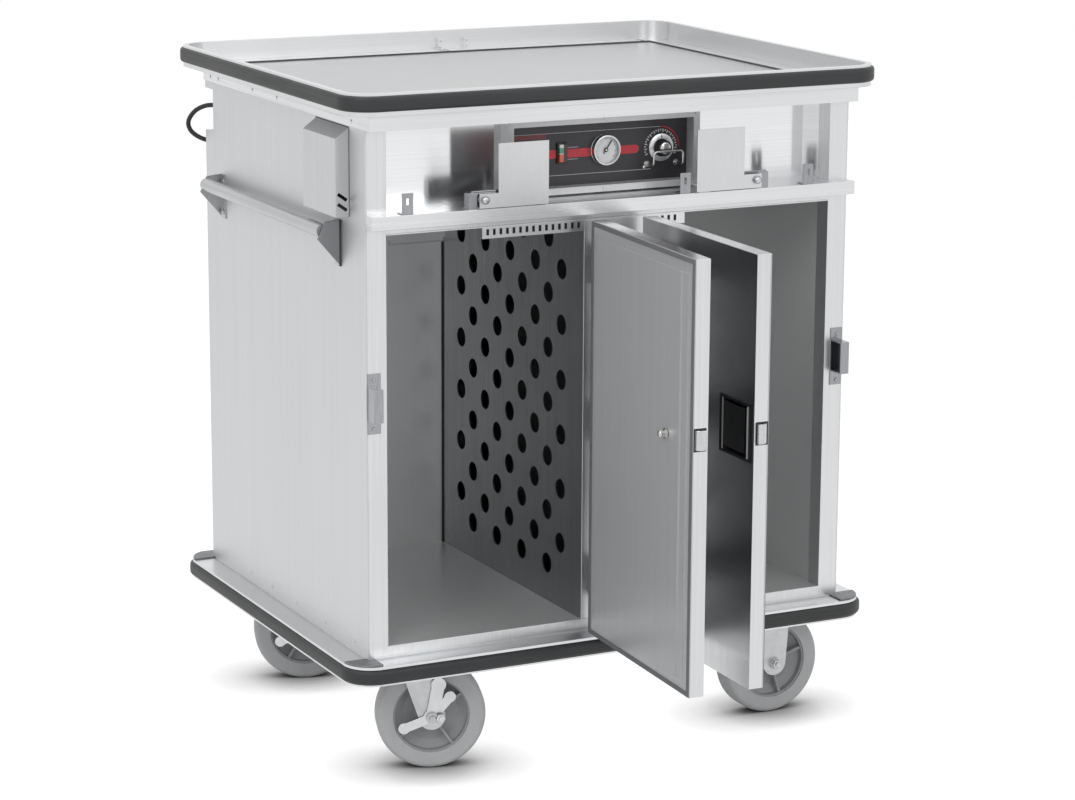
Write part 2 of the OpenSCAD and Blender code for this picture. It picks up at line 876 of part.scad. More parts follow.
// Fixed halves of the six hinges, with their pins, on the duct cover.
module hinge_leaves() {
    third = hinge_h / 3;
    pin_r = 2.5;
    near = 1.5;
    far = 4;
    leaf_y = barrel_r + 0.5;
    color("#b5b7b9") place() both_sides() translate([-hinge_x, hinge_y, 0]) {
        for (z = hinge_rows) {
            translate([0, 0, z - hinge_h / 2]) {
                for (low = [0, 2 * third + clear / 2]) {
                    translate([0, 0, low]) cylinder(r = barrel_r, h = third - clear / 2);
                    block([near, 0, low], [far, leaf_y + 1, low + third - clear / 2]);
                }
                cylinder(r = pin_r, h = hinge_h);
                block([near, leaf_y, 0], [far, -hinge_y, hinge_h]);
                block([far, -hinge_y - 2.5, 0], [far + 18, -hinge_y, hinge_h]);
                for (dz = [12, hinge_h - 12]) along_y([far + 10, -hinge_y - 4.5, dz], 4, 2);
            }
        }
    }
}

// Moving half of one hinge, on the door's edge. Its middle knuckle turns on the pin.
module door_leaf(z) {
    third = hinge_h / 3;
    translate([0, 0, z - hinge_h / 2]) difference() {
        union() {
            translate([0, 0, third + clear / 2]) cylinder(r = barrel_r, h = third - clear);
            block([-hinge_edge, 0, third + clear / 2], [-2.8, 6, 2 * third - clear / 2]);
            block([-hinge_edge, 5, 0], [-hinge_edge + 2, door_back - 5, hinge_h]);
        }
        cylinder(r = 2.5 + fit, h = hinge_h);
    }
}

// Space of the latch cup in the door's outer face, widened by extra on every side.
module cup_space(extra, deep) {
    block([-door_end + cup_in - extra, door_front - 5, cup_z - extra],
          [-door_end + cup_in + cup_w + extra, door_front + deep, cup_z + cup_h + extra]);
}

// Slot that the bolt slides in, from outside the free edge into the cup.
module bolt_slot(inner) {
    block([-door_end - 1, bolt_y - clear, bolt_z - clear],
          [-door_end + inner, bolt_y + bolt_deep + clear, bolt_z + bolt_h + clear]);
}

// Outer pan of a door, with its hinge halves.
module door_shell() {
    inner = door_back - liner_t;
    difference() {
        block([-door_end, door_front, door_z], [-hinge_edge, inner, door_top]);
        block([-door_end + sheet, door_front + sheet, door_z + sheet],
              [-hinge_edge - sheet, inner + 1, door_top - sheet]);
        cup_space(0, sheet + 1);
        bolt_slot(sheet + 1);
    }
    for (z = hinge_rows) door_leaf(z);
}

// Inner sheet of a door, with its raised pan and the ridge near the free edge.
module door_liner() {
    pan_in = 25;
    pan_top_in = 28;
    ridge_in = 48;
    face = door_back + pan_rise;
    block([-door_end, door_back - liner_t, door_z], [-hinge_edge, door_back, door_top]);
    block([-door_end + pan_in, door_back, door_z + pan_top_in],
          [-hinge_edge - pan_in, face, door_top - pan_top_in]);
    block([-door_end + ridge_in, face, door_z + pan_top_in],
          [-door_end + ridge_in + 4, face + ridge_rise, door_top - pan_top_in]);
}

// Flat seal around the edge of the inner sheet. It stops just short of the posts.
module door_gasket() {
    edge = 1;
    band = 8;
    t = door_gap - clear;
    difference() {
        block([-door_end + edge, door_back, door_z + edge],
              [-hinge_edge - edge, door_back + t, door_top - edge]);
        block([-door_end + edge + band, door_back - 1, door_z + edge + band],
              [-hinge_edge - edge - band, door_back + t + 1, door_top - edge - band]);
    }
}

// Latch cup with its flange, the paddle's pin and the dome nut on the inner side.
module latch_case() {
    flange = 3;
    nut_at = [-door_end + 100, door_back + pan_rise, cup_z + 42];
    difference() {
        union() {
            block([-door_end + cup_in, door_front, cup_z],
                  [-door_end + cup_in + cup_w, door_front + cup_deep + cup_wall, cup_z + cup_h]);
            block([-door_end + cup_in - flange, door_front - 1.5, cup_z - flange],
                  [-door_end + cup_in + cup_w + flange, door_front, cup_z + cup_h + flange]);
        }
        cup_space(-cup_wall, cup_deep);
        bolt_slot(cup_in + cup_wall + 1);
    }
    translate([paddle_pin_x, paddle_pin_y, cup_z + cup_wall]) {
        cylinder(r = paddle_pin_r, h = cup_h - 2 * cup_wall);
    }
    along_y(nut_at, 9, 3);
    along_y(nut_at, 6, 6);
}

// Pull paddle that turns on the pin inside the cup.
module latch_paddle() {
    low = cup_z + (cup_h - paddle_h) / 2;
    plate = 3;
    knuckle_r = 5;
    from = -door_end + cup_in + 30;
    difference() {
        union() {
            block([from, paddle_pin_y - knuckle_r, low],
                  [paddle_pin_x, paddle_pin_y - knuckle_r + plate, low + paddle_h]);
            translate([paddle_pin_x, paddle_pin_y, low]) cylinder(r = knuckle_r, h = paddle_h);
        }
        translate([paddle_pin_x, paddle_pin_y, low - 1]) {
            cylinder(r = paddle_pin_r + fit, h = paddle_h + 2);
        }
    }
}

// Latch bolt with a slanted nose, which slides in its slot.
module latch_bolt() {
    tip = -door_end - bolt_out;
    translate([0, 0, bolt_z]) linear_extrude(bolt_h) polygon([
        [tip, bolt_y], [tip, bolt_y + bolt_deep - 6], [tip + 5, bolt_y + bolt_deep],
        [-door_end + bolt_tail, bolt_y + bolt_deep], [-door_end + bolt_tail, bolt_y]
    ]);
}

// Stands a closed left door's piece in its open place.
module on_left_door() {
    place() translate([-hinge_x, hinge_y, 0]) rotate([0, 0, left_open]) children();
}

// The same for the right door, which is the left one mirrored.
module on_right_door() {
    place() mirror([1, 0, 0]) translate([-hinge_x, hinge_y, 0]) rotate([0, 0, right_open]) children();
}

// Strikes on the posts: a plate with a hollow hood and two screws.
module door_strikes() {
    low = cup_z + 3;
    outer = skin_x;
    inner = half_w - door_edge_in + 3;
    lip = half_w - door_edge_in + bolt_out + 1.5;
    hood_low = low + 25;
    hood_h = 61;
    wall = 2.5;
    front = -door_gap - door_t + 2;
    color("#a9abad") place() both_sides() {
        block([inner, -2, low], [outer, 0, low + 110]);
        difference() {
            block([lip, front, hood_low], [outer, -2, hood_low + hood_h]);
            block([lip - 1, front + wall, hood_low + wall], [outer - wall, -1, hood_low + hood_h - wall]);
        }
        for (z = [low + 9, low + 99]) along_y([half_w - 13, -4, z], 4, 2);
    }
}

// ---------------------------------------------------------------- ledge fittings

// Brackets that carry the turning flaps, and the four padlock eyes.
module latch_brackets() {
    high = bay_z + 30;
    eye_w = 22;
    eye_h = 38;
    color("#aeb0b2") place() {
        both_sides() {
            block([-305, bracket_y, bay_z], [-187, bracket_y + bracket_t, high]);
            block([-305, bracket_y + bracket_t, bay_z], [-187, -2, bay_z + 2]);
            block([-305, bracket_y + bracket_t, bay_z + 2], [-295, -8, high - 2]);
            along_x([-300, bracket_y + 1, high + 1.6], 1.6, 108);
            along_y([-flap_bolt_x, flap_y - 5, flap_bolt_z], flap_bolt_r, 20);
            along_y([-flap_bolt_x, flap_y - 5, flap_bolt_z], 7.5, 5 - clear);
            along_y([-flap_bolt_x, flap_y + flap_t + clear, flap_bolt_z], 9,
                    bracket_y - flap_y - flap_t - clear);
            translate([-flap_bolt_x, bracket_y + bracket_t + 5, flap_bolt_z]) {
                rotate([90, 0, 0]) cylinder(r = 7.5, h = 5, $fn = 6);
            }
        }
        for (x = eye_xs) {
            difference() {
                block([x - eye_w / 2, bracket_y, bay_z], [x + eye_w / 2, bracket_y + bracket_t, bay_z + eye_h]);
                block([x - 2.5, bracket_y - 1, bay_z + 17], [x + 2.5, bracket_y + bracket_t + 1, bay_z + 29]);
            }
            block([x - eye_w / 2, bracket_y + bracket_t, bay_z], [x + eye_w / 2, -6, bay_z + 2]);
        }
    }
}

// Flap that turns down over a closed door: a bar on the bolt and a broad plate.
module flap() {
    bolt_end = -flap_bolt_x - 10;
    inner = -151;
    color("#cfd1d3") place() difference() {
        union() {
            block([bolt_end, flap_y, flap_low], [inner, flap_y + flap_t, flap_low + 26]);
            block([-250, flap_y, flap_low + 25], [inner, flap_y + flap_t, flap_high]);
        }
        along_y([-flap_bolt_x, flap_y - 1, flap_bolt_z], flap_bolt_r + fit, flap_t + 2);
    }
}

module left_flap() {
    flap();
}

module right_flap() {
    mirror([1, 0, 0]) flap();
}

// ---------------------------------------------------------------- doors

module left_door_shell() {
    color("#d2d4d6") on_left_door() door_shell();
}

module left_door_liner() {
    color("#c6c8ca") on_left_door() door_liner();
}

module left_door_gasket() {
    color("#6f7275") on_left_door() door_gasket();
}

module left_latch_case() {
    color("#2b2d30") on_left_door() latch_case();
}

module left_latch_paddle() {
    color("#3a3c40") on_left_door() latch_paddle();
}

module left_latch_bolt() {
    color("#1f2022") on_left_door() latch_bolt();
}

module right_door_shell() {
    color("#d2d4d6") on_right_door() door_shell();
}

module right_door_liner() {
    color("#c6c8ca") on_right_door() door_liner();
}

module right_door_gasket() {
    color("#6f7275") on_right_door() door_gasket();
}

module right_latch_case() {
    color("#2b2d30") on_right_door() latch_case();
}

module right_latch_paddle() {
    color("#3a3c40") on_right_door() latch_paddle();
}

module right_latch_bolt() {
    color("#1f2022") on_right_door() latch_bolt();
}

// ---------------------------------------------------------------- casters

// Stands a swivel caster's piece, drawn rolling along X, under its kingpin.
module on_swivel(i) {
    place() translate([swivel_x, caster_ys[i], 0]) rotate([0, 0, heading]) children();
}

module on_fixed(i) {
    place() translate([fixed_x, caster_ys[i], 0]) children();
}

// Crown, legs and axle of a swivel caster. The brake turns on the axle's outer end.
module swivel_fork() {
    crown = leg_in + leg_t;
    difference() {
        union() {
            translate([0, 0, crown_z]) cylinder(r = 40, h = crown_t);
            block([-22, -crown, crown_z], [trail - 15, crown, crown_z + 6]);
            fork_legs(-22, trail - 15, trail, crown_z);
        }
        translate([0, 0, crown_z - 1]) cylinder(r = kingpin_r + fit, h = crown_t + 2);
    }
    axle(trail, brake_t + 2 * clear);
}

// Brake rocker round the axle, outside the fork, with a pad on each of its arms.
module swivel_brake() {
    boss_r = 16;
    pad = 2;
    translate([trail, -leg_in - leg_t - clear, wheel_r]) rotate([90, 0, 0]) {
        linear_extrude(brake_t) difference() {
            union() {
                circle(boss_r);
                for (arm = brake_arms) rotate(arm[0]) {
                    translate([0, -arm[2] / 2]) square([arm[1] - arm[2] / 2 - pad, arm[2]]);
                    translate([arm[1] - arm[2] / 2 - pad, 0]) circle(arm[2] / 2 + pad);
                }
            }
            circle(axle_r + fit);
        }
    }
}

// Moulded wheel centre, bored for the axle: rim, boss, dished web and four ribs,
// the first one turned up from +X.
module wheel_hub(x, turn) {
    rim_r = wheel_r - tread_t;
    inner_r = rim_r - 3.5;
    boss_r = 19;
    half = wheel_w / 2;
    translate([x, 0, wheel_r]) rotate([90, 0, 0]) difference() {
        union() {
            translate([0, 0, -half + 3]) cylinder(r = rim_r, h = wheel_w - 6);
            translate([0, 0, -half]) cylinder(r = boss_r, h = wheel_w);
        }
        for (side = [0, 1]) {
            mirror([0, 0, side]) translate([0, 0, 4]) difference() {
                rotate_extrude() polygon([
                    [boss_r, 7], [boss_r + 12, 2], [inner_r - 16, 0], [inner_r, 6],
                    [inner_r, half], [boss_r, half]
                ]);
                for (a = [0 : 90 : 270]) {
                    rotate([0, 0, turn + a]) {
                        translate([0, -2.5, 0]) cube([rim_r, 5, half - 9]);
                    }
                }
            }
        }
        translate([0, 0, -half - 1]) cylinder(r = axle_r + fit, h = wheel_w + 2);
    }
}

// Rubber tread with rounded edges.
module wheel_tread(x) {
    edge = 10;
    inner = wheel_r - tread_t;
    half = wheel_w / 2;
    translate([x, 0, wheel_r]) rotate([90, 0, 0]) rotate_extrude() {
        translate([inner, -half]) square([tread_t - edge, wheel_w]);
        translate([inner, -half + edge]) square([tread_t, wheel_w - 2 * edge]);
        for (side = [-1, 1]) translate([wheel_r - edge, side * (half - edge)]) circle(edge);
    }
}

module front_swivel_fork() {
    color("silver") on_swivel(0) swivel_fork();
}

module front_swivel_brake() {
    color("#2a2b2d") on_swivel(0) swivel_brake();
}

module front_swivel_hub() {
    color("#8b8e92") on_swivel(0) wheel_hub(trail, 35);
}

module front_swivel_tread() {
    color("#6d7074") on_swivel(0) wheel_tread(trail);
}

module rear_swivel_fork() {
    color("silver") on_swivel(1) swivel_fork();
}

module rear_swivel_brake() {
    color("#2a2b2d") on_swivel(1) swivel_brake();
}

module rear_swivel_hub() {
    color("#8b8e92") on_swivel(1) wheel_hub(trail, 60);
}

module rear_swivel_tread() {
    color("#6d7074") on_swivel(1) wheel_tread(trail);
}

module front_fixed_hub() {
    color("#8b8e92") on_fixed(0) wheel_hub(0, 17);
}

module front_fixed_tread() {
    color("#6d7074") on_fixed(0) wheel_tread(0);
}

module rear_fixed_hub() {
    color("#8b8e92") on_fixed(1) wheel_hub(0, 75);
}

module rear_fixed_tread() {
    color("#6d7074") on_fixed(1) wheel_tread(0);
}

// ---------------------------------------------------------------- power cord

// Moves the cord's own measures to the cabinet: from the left side, the back
// panel and the ledge.
module at_cord() {
    place() translate([-half_w, body_d, bay_z]) children();
}

module cord_gland() {
    color("#17181a") at_cord() {
        along_y([gland_at[0], -pocket_d, gland_at[2]], gland_r, 4);
        along_y([gland_at[0], -pocket_d + 4, gland_at[2]], gland_r - 3, gland_len - 4);
    }
}

module power_cord() {
    color("#17181a") at_cord() {
        tube(smooth(cord_points, cord_steps), cord_sides, cord_d / 2, [1, 0, 0]);
    }
}

// Centre line of the wound part, t turns from its start: the start is at its
// left, heading down.
function coil_radius(t) = coil_r - coil_step * (t < coil_in_turns ? t :
    t < coil_in_turns + climb_turns ? coil_in_turns : 2 * coil_in_turns + climb_turns - t);
function coil_layer(t) = min(max((t - coil_in_turns) / climb_turns, 0), 1);
function coil_point(t) = coil_at + [
    -coil_radius(t) * cos(360 * t),
    coil_layer(t) * coil_step,
    -coil_radius(t) * sin(360 * t)
];
coil_line = [for (i = [0 : coil_turns * coil_rings]) coil_point(i / coil_rings)];
coil_last = coil_line[len(coil_line) - 1];
coil_path = concat(
    [coil_line[0] + [0, 0, cord_d]],
    coil_line,
    [for (f = [0.25, 0.5, 1]) coil_last - [0, 0, tail_len * f]]
);

// Least gap between centre lines that are at least half a turn apart, less one
// cord diameter.
coil_gap = min([
    for (i = [0 : len(coil_line) - 1]) for (j = [i + coil_rings / 2 : 1 : len(coil_line) - 1])
        norm(coil_line[i] - coil_line[j])
]) - cord_d;
echo(coil_gap = coil_gap);

module cord_coil() {
    color("#17181a") at_cord() tube(coil_path, coil_sides, cord_d / 2, [1, 0, 0]);
}

// Plug at the end of the wound part: sleeve, grip, and two blades with a round pin.
module power_plug() {
    top = coil_last - [0, 0, tail_len];
    color("#1d1e20") at_cord() translate(top) {
        rotate_extrude() polygon([
            [0, 0], [6.5, 0], [7.5, -20], [plug_r - 4, -26], [plug_r - 3, -50],
            [plug_r, -53], [plug_r, -58], [0, -58]
        ]);
        for (x = [-6.5, 6.5]) block([x - 0.8, -7, -76], [x + 0.8, -1, -58]);
        translate([0, 6, -79]) cylinder(r = 2.4, h = 21);
    }
}

// Peg with an end disc that the wound part hangs on.
module cord_hook() {
    peg_r = 9;
    inner_r = coil_r - coil_step * coil_in_turns - cord_d / 2;
    peg_z = coil_at[2] + inner_r - peg_r - 0.6;
    peg_len = 2 * coil_step + 8;
    color("#9a9da0") at_cord() {
        along_y([coil_at[0], 0, peg_z], peg_r, peg_len);
        along_y([coil_at[0], peg_len, peg_z], 20, 3);
        block([coil_at[0] - 15, 0, peg_z - 32], [coil_at[0] + 15, 2, peg_z - 12]);
    }
}

base_frame();
base_bumper();
base_plates();
rigid_forks();
floor_panel();
side_panels();
back_panel();
front_frame();
compartment_liners();
divider_skins();
return_grilles();
ledge_channel();
bay_walls();
top_band();
top_tray();
top_bumper();
control_box();
control_plate();
gauge_case();
gauge_needle();
panel_fittings();
thermostat_knob();
power_rocker();
vent_hood();
push_handle();
hinge_leaves();
latch_brackets();
door_strikes();
heater_unit();
left_flap();
right_flap();
left_door_shell();
left_door_liner();
left_door_gasket();
left_latch_case();
left_latch_paddle();
left_latch_bolt();
right_door_shell();
right_door_liner();
right_door_gasket();
right_latch_case();
right_latch_paddle();
right_latch_bolt();
front_swivel_fork();
front_swivel_brake();
front_swivel_hub();
front_swivel_tread();
rear_swivel_fork();
rear_swivel_brake();
rear_swivel_hub();
rear_swivel_tread();
front_fixed_hub();
front_fixed_tread();
rear_fixed_hub();
rear_fixed_tread();
cord_gland();
power_cord();
cord_coil();
power_plug();
cord_hook();
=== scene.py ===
import json
import math
import bmesh
import bpy
import numpy as np
from mathutils import Matrix, Vector

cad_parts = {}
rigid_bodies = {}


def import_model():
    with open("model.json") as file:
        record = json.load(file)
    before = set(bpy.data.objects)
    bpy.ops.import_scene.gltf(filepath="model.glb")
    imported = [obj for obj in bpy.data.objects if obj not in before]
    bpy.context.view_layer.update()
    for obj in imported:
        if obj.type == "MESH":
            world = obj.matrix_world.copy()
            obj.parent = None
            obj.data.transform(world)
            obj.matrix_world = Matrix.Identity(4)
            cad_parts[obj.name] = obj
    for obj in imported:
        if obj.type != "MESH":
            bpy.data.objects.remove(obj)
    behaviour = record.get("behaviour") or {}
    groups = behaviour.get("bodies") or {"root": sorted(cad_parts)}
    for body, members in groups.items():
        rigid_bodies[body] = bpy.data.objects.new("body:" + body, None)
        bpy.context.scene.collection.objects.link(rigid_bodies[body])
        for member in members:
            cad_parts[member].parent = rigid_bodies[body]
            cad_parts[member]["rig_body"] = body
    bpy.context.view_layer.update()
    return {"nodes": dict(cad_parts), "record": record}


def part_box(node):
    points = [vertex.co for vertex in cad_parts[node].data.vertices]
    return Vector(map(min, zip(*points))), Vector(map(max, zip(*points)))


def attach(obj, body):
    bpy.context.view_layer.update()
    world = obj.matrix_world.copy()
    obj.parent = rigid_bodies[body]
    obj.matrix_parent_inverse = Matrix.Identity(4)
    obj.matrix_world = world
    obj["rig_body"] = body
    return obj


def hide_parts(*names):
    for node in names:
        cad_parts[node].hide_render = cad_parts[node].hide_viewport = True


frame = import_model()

mm = 0.001
sheet = 2.0  # the outer sheets' thickness, in mm

# The cabinet's own measures are in mm: x from the middle, y back from the front of
# the posts and z up from the floor. The frame says where that front stands.
postFront = np.array([0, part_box("side_panels")[0].y, 0])


# Metres in the part's frame from the cabinet's own millimetres, and the other way.
def place(points):
    return np.asarray(points, float) * mm + postFront


def measure(points):
    return (np.asarray(points, float) - postFront) / mm


# The low and the high corner of a node's box, in the cabinet's own millimetres.
def ownBox(node):
    return [measure(corner[:]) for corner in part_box(node)]


sideLow, sideHigh = ownBox("side_panels")
deckLow = ownBox("top_tray")[0]
handleLow, handleHigh = ownBox("push_handle")
ledgeTop = ownBox("ledge_channel")[1][2]
halfWidth = ownBox("floor_panel")[1][0] + sheet
depth = sideHigh[1] - sideLow[1]

# The photograph's camera, solved from the cabinet's corners.
camera = {
    "place": (-2.70718, -5.26537, 1.98581),
    "yaw": -26.6433,  # degrees, turned right from +Y
    "pitch": 12.8338,  # degrees, looking down
    "roll": 0.2991,
    "focal": 3219.97,  # in photograph pixels
    "wide": 1075,  # the photograph's width in pixels
    "sensor": 36.0,
}


def makeCamera(c):
    yaw, pitch, roll = (math.radians(c[k]) for k in ("yaw", "pitch", "roll"))
    forward = Vector((-math.sin(yaw) * math.cos(pitch), math.cos(yaw) * math.cos(pitch), -math.sin(pitch)))
    right = Vector((math.cos(yaw), math.sin(yaw), 0))
    up = right.cross(forward)
    side = right * math.cos(roll) + up * math.sin(roll)
    top = up * math.cos(roll) - right * math.sin(roll)
    data = bpy.data.cameras.new("camera")
    data.sensor_width = c["sensor"]
    data.lens = c["focal"] / c["wide"] * c["sensor"]
    data.clip_end = 60
    made = bpy.data.objects.new("camera", data)
    turn = Matrix((side, top, -forward)).transposed().to_4x4()
    made.matrix_world = Matrix.Translation(c["place"]) @ turn
    bpy.context.collection.objects.link(made)
    bpy.context.scene.camera = made


makeCamera(camera)
bpy.context.scene.view_settings.view_transform = "Standard"
print("camera made")


# sRGB hex to a linear colour with alpha.
def linear(hexColour):
    parts = np.array([int(hexColour[i:i + 2], 16) for i in (1, 3, 5)]) / 255
    flat = np.where(parts <= 0.04045, parts / 12.92, ((parts + 0.055) / 1.055) ** 2.4)
    return (*flat.tolist(), 1.0)


# Adds a shader node, sets its inputs or its own settings by name, and links its
# inputs. A node given as a source stands for its first output.
def addNode(tree, kind, settings=None, links=None):
    node = tree.nodes.new("ShaderNode" + kind)
    for key, value in (settings or {}).items():
        if isinstance(key, int) or key in node.inputs:
            node.inputs[key].default_value = value
        else:
            setattr(node, key, value)
    for key, source in (links or {}).items():
        tree.links.new(getattr(source, "outputs", [source])[0], node.inputs[key])
    return node


# The empty node tree of a new material or world.
def emptyTree(owner):
    owner.use_nodes = True
    owner.node_tree.nodes.clear()
    return owner.node_tree


grainShare = 0.65  # of the pattern, and the rest is the cloud's
grainDepth = 0.05  # in mm
middleHalf = {"From Min": 0.3, "From Max": 0.7}  # where most of the pattern's values lie


# One finish: a stretched grain and a broad cloud over it drive the colour, the
# roughness and a fine bump. The grain is length mm long and pitch mm wide.
def finish(name, look):
    look = {"grain": "", "length": look["pitch"], "cloud": 260.0, "metal": 1.0, **look}
    material = bpy.data.materials.new(name)
    tree = emptyTree(material)
    scale = [1 / (look["length" if axis in look["grain"] else "pitch"] * mm) for axis in "xyz"]
    spot = addNode(tree, "TexCoord").outputs["Object"]
    stretched = addNode(tree, "Mapping", {"Scale": scale}, {"Vector": spot})
    grain = addNode(tree, "TexNoise", {"Scale": 1.0, "Detail": 3.0, "Roughness": 0.6}, {"Vector": stretched})
    cloud = addNode(tree, "TexNoise", {"Scale": 1000 / look["cloud"], "Detail": 2.0}, {"Vector": spot})
    share = addNode(tree, "Math", {"operation": "MULTIPLY", 1: 1 - grainShare}, {0: cloud})
    mixed = addNode(tree, "Math", {"operation": "MULTIPLY_ADD", 1: grainShare}, {0: grain, 2: share})
    level = addNode(tree, "MapRange", middleHalf, {"Value": mixed})
    ends = {6: linear(look["dark"]), 7: linear(look["light"])}
    tone = addNode(tree, "Mix", {"data_type": "RGBA", **ends}, {0: level}).outputs[2]
    if "beyond" in look:  # this colour lies beyond a place on an axis, and the other one short of it
        axis, start = look["beyond"]
        apart = addNode(tree, "SeparateXYZ", None, {"Vector": spot}).outputs[axis]
        step = addNode(tree, "Math", {"operation": "GREATER_THAN", 1: start}, {0: apart})
        parted = {"data_type": "RGBA", 6: linear(look["short"])}
        tone = addNode(tree, "Mix", parted, {0: step, 7: tone}).outputs[2]
    low, high = look["rough"]
    rough = addNode(tree, "MapRange", {**middleHalf, "To Min": high, "To Max": low}, {"Value": mixed})
    bump = addNode(tree, "Bump", {"Strength": look["bump"], "Distance": grainDepth * mm}, {"Height": grain})
    shader = addNode(tree, "BsdfPrincipled", {"Metallic": look["metal"]},
                     {"Base Color": tone, "Roughness": rough, "Normal": bump})
    if "blur" in look:  # the way that the brush smears a reflection
        smear = addNode(tree, "CombineXYZ", dict(zip("XYZ", look["blur"])))
        shader.inputs["Anisotropic"].default_value = 0.9
        tree.links.new(smear.outputs["Vector"], shader.inputs["Tangent"])
    if "specular" in look:
        shader.inputs["Specular IOR Level"].default_value = look["specular"]
    addNode(tree, "OutputMaterial", None, {"Surface": shader})
    return material


# A print of ink, smooth and without metal.
def printed(light, dark, rough, pitch):
    return {"light": light, "dark": dark, "metal": 0.0, "rough": rough, "pitch": pitch, "bump": 0.03}


